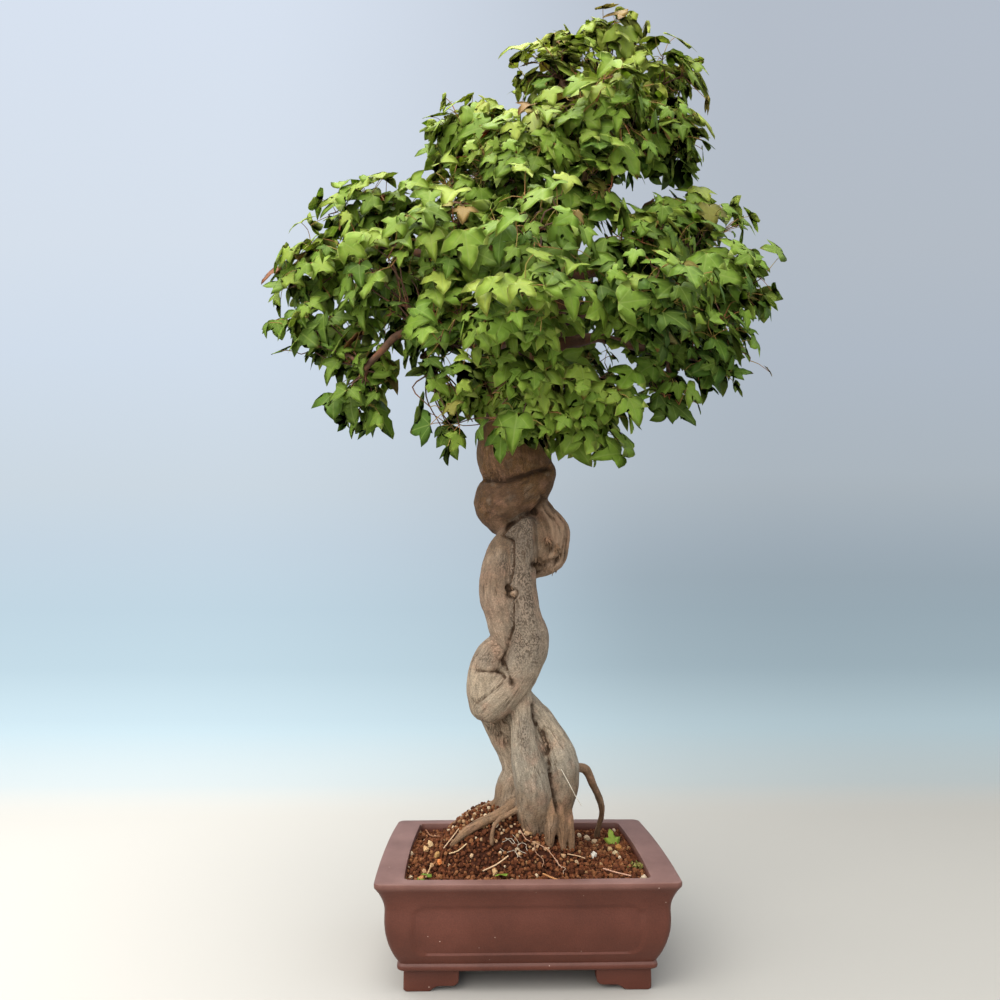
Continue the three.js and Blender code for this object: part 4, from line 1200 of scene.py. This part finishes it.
litterSettings = {
    # colour, points x, y along the soil and radius; each is laid on the soil's height
    "straws": [("#c9a987", [(-49, -77), (-34, -70), (-20, -61)], 0.8),
               ("#c4a07c", [(49, -48), (60, -44), (70, -43)], 0.65),
               ("#b98f78", [(88, -62), (102, -73), (116, -83)], 0.8),
               ("#c7ab84", [(-88, -50), (-78, -51), (-68, -47)], 0.7),
               ("#b5946e", [(-112, -84), (-110, -70), (-108, -58)], 0.8),
               ("#a9794f", [(18, -82), (26, -89), (33, -95)], 1.0),
               ("#c2a484", [(-95, -38), (-84, -30), (-78, -24)], 0.7),
               ("#8d6247", [(-102, 5), (-116, 50), (-126, 96)], 0.9)],
    "feeders": [("#a9836a", [(-6, -40), (2, -47), (15, -49), (26, -53), (35, -61), (40, -70)], 0.6),
                ("#b3a28f", [(-22, -46), (-12, -52), (-2, -50), (4, -56)], 0.34),
                ("#b9ad9c", [(-26, -50), (-16, -47), (-10, -54), (0, -58)], 0.3),
                ("#a99885", [(-14, -44), (-8, -50), (-12, -58), (-4, -62)], 0.3),
                ("#b2a592", [(-30, -54), (-22, -58), (-14, -56), (-8, -62)], 0.28),
                ("#9c7a62", [(10, -50), (12, -58), (20, -62), (18, -70)], 0.4),
                ("#a88d77", [(34, -60), (38, -66), (44, -70), (42, -78)], 0.4)],
    # place and lift, length, turn, tilt towards the front and leaf tone
    "dropped": [((117, 38, 1), 21, 18, 58, 0.72), ((-29, -83, 4), 17, 200, 14, 0.5),
                ((-106, -79, 3), 13, 100, 14, 0.4), ((-116, -92, 2), 11, 30, 14, 0.3)],
    # a thread of root that hangs in the air: points x, y, z and its radius
    "thread": [(44, -34, 219, 0.42), (52, -42, 205, 0.4), (60, -46, 190, 0.36), (66, -46, 180, 0.3)],
    "threadColour": "#c4bba9",
    "moss": (131, -47), "mossColours": ["#6e6a32", "#837c42", "#5a5c2a", "#8d8352"],
}


def makeLitter(earth, green):
    dice = np.random.default_rng(19)
    pieces = []
    for kind in ("straws", "feeders"):
        for colour, line, thick in litterSettings[kind]:
            lift = 3.4 if kind == "straws" else 2.6
            heights = [soilHeight(x, y) + lift + dice.uniform(-0.3, 0.6) for x, y in line]
            path = smoothPath([(x, y, z, thick) for (x, y), z in zip(line, heights)], 4)
            if kind == "feeders":
                path[:, :2] += dice.normal(0, 0.7, (len(path), 2))
            stem = makeStems(kind, [path], 6)
            paint(stem, [colour] * len(stem.data.vertices))
            pieces.append(stem)
    stem = makeStems("thread", [smoothPath(litterSettings["thread"], 4)], 6)
    paint(stem, [litterSettings["threadColour"]] * len(stem.data.vertices))
    pieces.append(stem)
    finishPiece(joinAll(pieces), "straws_and_feeder_roots", earth)
    shapes = makeGranuleShapes(dice, 3)
    moss = litterSettings["moss"]
    spots = [(moss[0] + dice.normal(0, 4.5), moss[1] + dice.normal(0, 5)) for at in range(46)]
    places = [(min(x, 138), y, soilHeight(x, y) + 2.2 + dice.uniform(0, 2.5)) for x, y in spots]
    colours = [litterSettings["mossColours"][at % 4] for at in range(len(spots))]
    scatterLumps("moss_tuft", shapes, places, dice.uniform(0.9, 1.9, len(spots)), colours, dice, earth,
        "leaf")
    shape, plan, faces = makeLeafShape(1.0, 0.95, 0.03, 0.12, 0.16, 0.2)
    copies, plans, tints = [], [], []
    for (x, y, lift), size, turn, tilt, light in litterSettings["dropped"]:
        spin = np.array(Matrix.Rotation(math.radians(turn), 3, "Z")
            @ Matrix.Rotation(math.radians(tilt), 3, "X"))
        copies.append(((shape * size) @ spin.T + (x, y, soilHeight(x, y) + lift), faces))
        plans.append(plan)
        tints.append((light, 0.05, 0.0))
    finishLeaves("dropped_leaves", copies, plans, tints, green)
    print("litter made")


earth = makeEarth()
halfX, halfY = makeSoilBed(earth)
makeGranules(halfX, halfY, earth)
makeLitter(earth, leafGreen)


# what lies below the soil: screens over the drain holes, their clips, the tie wire and coarse pumice

drainageSettings = {"plastic": [(0.3, "#1b1d1c"), (0.7, "#2b2d2c")],
    "wire": [(0.3, "#5a3a26"), (0.7, "#7d5538")], "pumice": [(0.2, "#b5a78f"), (0.8, "#7b6c56")]}


def makeScreenPlastic():
    material, add, place = startMaterial("moulded_polyethylene_mesh")
    haze = add("TexNoise", {"Scale": 300.0}, {"Vector": place})
    tone = add("ValToRGB", {"stops": drainageSettings["plastic"]}, {"Fac": haze})
    surface = add("BsdfPrincipled", {"Roughness": 0.55, "IOR": 1.5}, {"Base Color": tone})
    add("OutputMaterial", {}, {"Surface": surface})
    return material


def makeWireMetal():
    material, add, place = startMaterial("anodised_aluminium_wire")
    scratch = add("TexNoise", {"Scale": 500.0, "Detail": 3.0}, {"Vector": place})
    tone = add("ValToRGB", {"stops": drainageSettings["wire"]}, {"Fac": scratch})
    rough = add("MapRange", {"To Min": 0.28, "To Max": 0.5}, {"Value": scratch})
    surface = add("BsdfPrincipled", {"Metallic": 1.0}, {"Base Color": tone, "Roughness": rough})
    add("OutputMaterial", {}, {"Surface": surface})
    return material


def makePumice():
    material, add, place = startMaterial("washed_pumice")
    cells = add("TexVoronoi", {"Scale": 160.0}, {"Vector": place})  # 6 mm lumps
    tone = add("ValToRGB", {"stops": drainageSettings["pumice"]}, {"Fac": cells.outputs["Distance"]})
    bump = add("Bump", {"Strength": 0.8, "Distance": 0.002, "invert": True},
        {"Height": cells.outputs["Distance"]})
    surface = add("BsdfPrincipled", {"Roughness": 0.9}, {"Base Color": tone, "Normal": bump})
    add("OutputMaterial", {}, {"Surface": surface})
    return material


def makeScreens(plastic):
    for side in ("left", "right"):
        name = "drainage_screen_" + side
        low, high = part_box(name)
        middle = (low + high) / 2
        clearSelection()
        bpy.ops.mesh.primitive_grid_add(x_subdivisions=14, y_subdivisions=14, size=1, location=middle)
        screen = bpy.context.object
        screen.scale = (high.x - low.x - 0.001, high.y - low.y - 0.001, 1)
        bpy.ops.object.transform_apply(location=True, rotation=True, scale=True)
        applyModifier(screen, "WIREFRAME", thickness=(high.z - low.z) * 0.9, use_even_offset=False)
        finishPiece(screen, "mesh_screen_" + side, plastic, [name])


makeScreens(makeScreenPlastic())
wireMetal, pumice = makeWireMetal(), makePumice()
for name, material in (("screen_clip_left", wireMetal), ("screen_clip_right", wireMetal),
        ("anchor_wire", wireMetal), ("drainage_gravel", pumice)):
    nodes[name].data.materials.clear()
    nodes[name].data.materials.append(material)
print("drainage made")

# floor, backdrop and light

stageSettings = {
    "floorBack": 1.5, "floorTone": "#bcbab7", "height": 3.4, "halfWidth": 4.0, "bend": 0.9,
    # warm white floor that turns pale blue up the wall, over 2.5 m
    "tints": [(0.0, "#f6f4ef"), (0.008, "#e6f1f5"), (0.04, "#d8eff9"), (0.095, "#c6dde9"), (0.16, "#c2d7e4"),
              (0.24, "#c6d6e3"), (0.32, "#ccd8e2"), (0.5, "#d1ddeb"), (0.66, "#d6e0ec"), (1.0, "#d8e2f0")],
    # painted shade: the wall is a little darker on the right at half height
    "murk": [(0.0, "#fffffe"), (0.1, "#eeeeee"), (0.2, "#ebebeb"), (0.34, "#fcfcfc")],
    "sky": [(0.0, "#8a8b8c"), (0.35, "#b9c1c9"), (1.0, "#f2f5fa")],
    # name, place, what it points at, width, power and colour
    "lights": [("window", (-1.8, -1.9, 2.3), (0, 0, 0.6), 1.8, 58, "#fffaf2"),
               ("doorway", (-0.7, -2.5, 1.3), (0, 0, 0.85), 1.4, 24, "#fffaf4"),
               ("ceiling", (-0.3, -0.3, 3.0), (0, 0, 0.5), 2.4, 104, "#fffdf8")],
}


def makeStage():
    stage = stageSettings
    clearSelection()
    bpy.ops.mesh.primitive_plane_add(size=2, location=(0, -1.5, 0))
    sweep = bpy.context.object
    sweep.scale = (stage["halfWidth"], stage["floorBack"] + 1.5, 1)
    bpy.ops.object.transform_apply(location=True, rotation=True, scale=True)
    editAll(sweep, "EDGE")
    choose(sweep, "edges", lambda middle, way: middle.y > 1 and abs(way.x) > 1)
    bpy.ops.mesh.extrude_region_move(TRANSFORM_OT_translate={"value": (0, 0, stage["height"])})
    choose(sweep, "edges", lambda middle, way: middle.y > 1 and middle.z < 0.01 and abs(way.x) > 1)
    bpy.ops.mesh.bevel(offset=stage["bend"], segments=24, affect="EDGES")
    bpy.ops.object.mode_set(mode="OBJECT")
    bpy.ops.object.shade_smooth()
    sweep.name = "paper_sweep"
    material, add, place = startMaterial("painted_paper")
    split = add("SeparateXYZ", {}, {0: place})
    height = add("MapRange", {"range": (0.0, 2.5)}, {"Value": split.outputs["Z"]})
    tint = add("ValToRGB", {"stops": stage["tints"]}, {"Fac": height})
    # painted shade: the floor and wall darken towards the right
    fade = add("MapRange", {"interpolation_type": "SMOOTHSTEP", "range": (-1.0, 1.0, 1.0, 0.69)},
        {"Value": split.outputs["X"]})
    murk = add("ValToRGB", {"stops": stage["murk"]}, {"Fac": height})
    rightward = add("MapRange", {"interpolation_type": "SMOOTHSTEP", "range": (-0.1, 0.5)},
        {"Value": split.outputs["X"]})
    murky = add("Mix", {"blend_type": "MULTIPLY"}, {0: rightward, 6: tint, 7: murk})
    faded = add("Mix", {"blend_type": "MULTIPLY", 0: 1.0}, {6: murky, 7: fade})
    floorTone = add("Mix", {"blend_type": "MULTIPLY", 0: 1.0, 7: stage["floorTone"]}, {6: faded})
    paper = add("BsdfDiffuse", {}, {"Color": floorTone})
    # the wall glows with painted light; only the floor, below 12 cm, is lit by the lamps
    glow = add("Emission", {"Strength": 1.0}, {"Color": faded})
    rise = add("MapRange", {"range": (0.0, 0.12)}, {"Value": split.outputs["Z"]})
    surface = add("MixShader", {}, {0: rise, 1: paper, 2: glow})
    add("OutputMaterial", {}, {"Surface": surface})
    sweep.data.materials.append(material)


def makeLight(name, place, target, size, power, colour):
    clearSelection()
    bpy.ops.object.light_add(type="AREA", location=place)
    lamp = bpy.context.object
    lamp.name = name
    lamp.rotation_euler = (Vector(target) - Vector(place)).to_track_quat("-Z", "Y").to_euler()
    lamp.data.size = size
    lamp.data.energy = power
    lamp.data.color = toLinear(colour)[:3]


def makeWorld():
    world = bpy.data.worlds.new("studio")
    bpy.context.scene.world = world
    world.use_nodes = True
    world.node_tree.nodes.clear()
    add = partial(addNode, world.node_tree)
    split = add("SeparateXYZ", {}, {0: add("TexCoord").outputs["Generated"]})
    rise = add("MapRange", {"range": (-0.3, 0.9)}, {"Value": split.outputs["Z"]})
    tint = add("ValToRGB", {"stops": stageSettings["sky"]}, {"Fac": rise})
    sky = add("Background", {"Strength": 1.6}, {"Color": tint})
    add("OutputWorld", {}, {"Surface": sky})


makeStage()
makeWorld()
for light in stageSettings["lights"]:
    makeLight(*light)
bpy.context.scene.view_settings.view_transform = "Standard"
print("stage made")
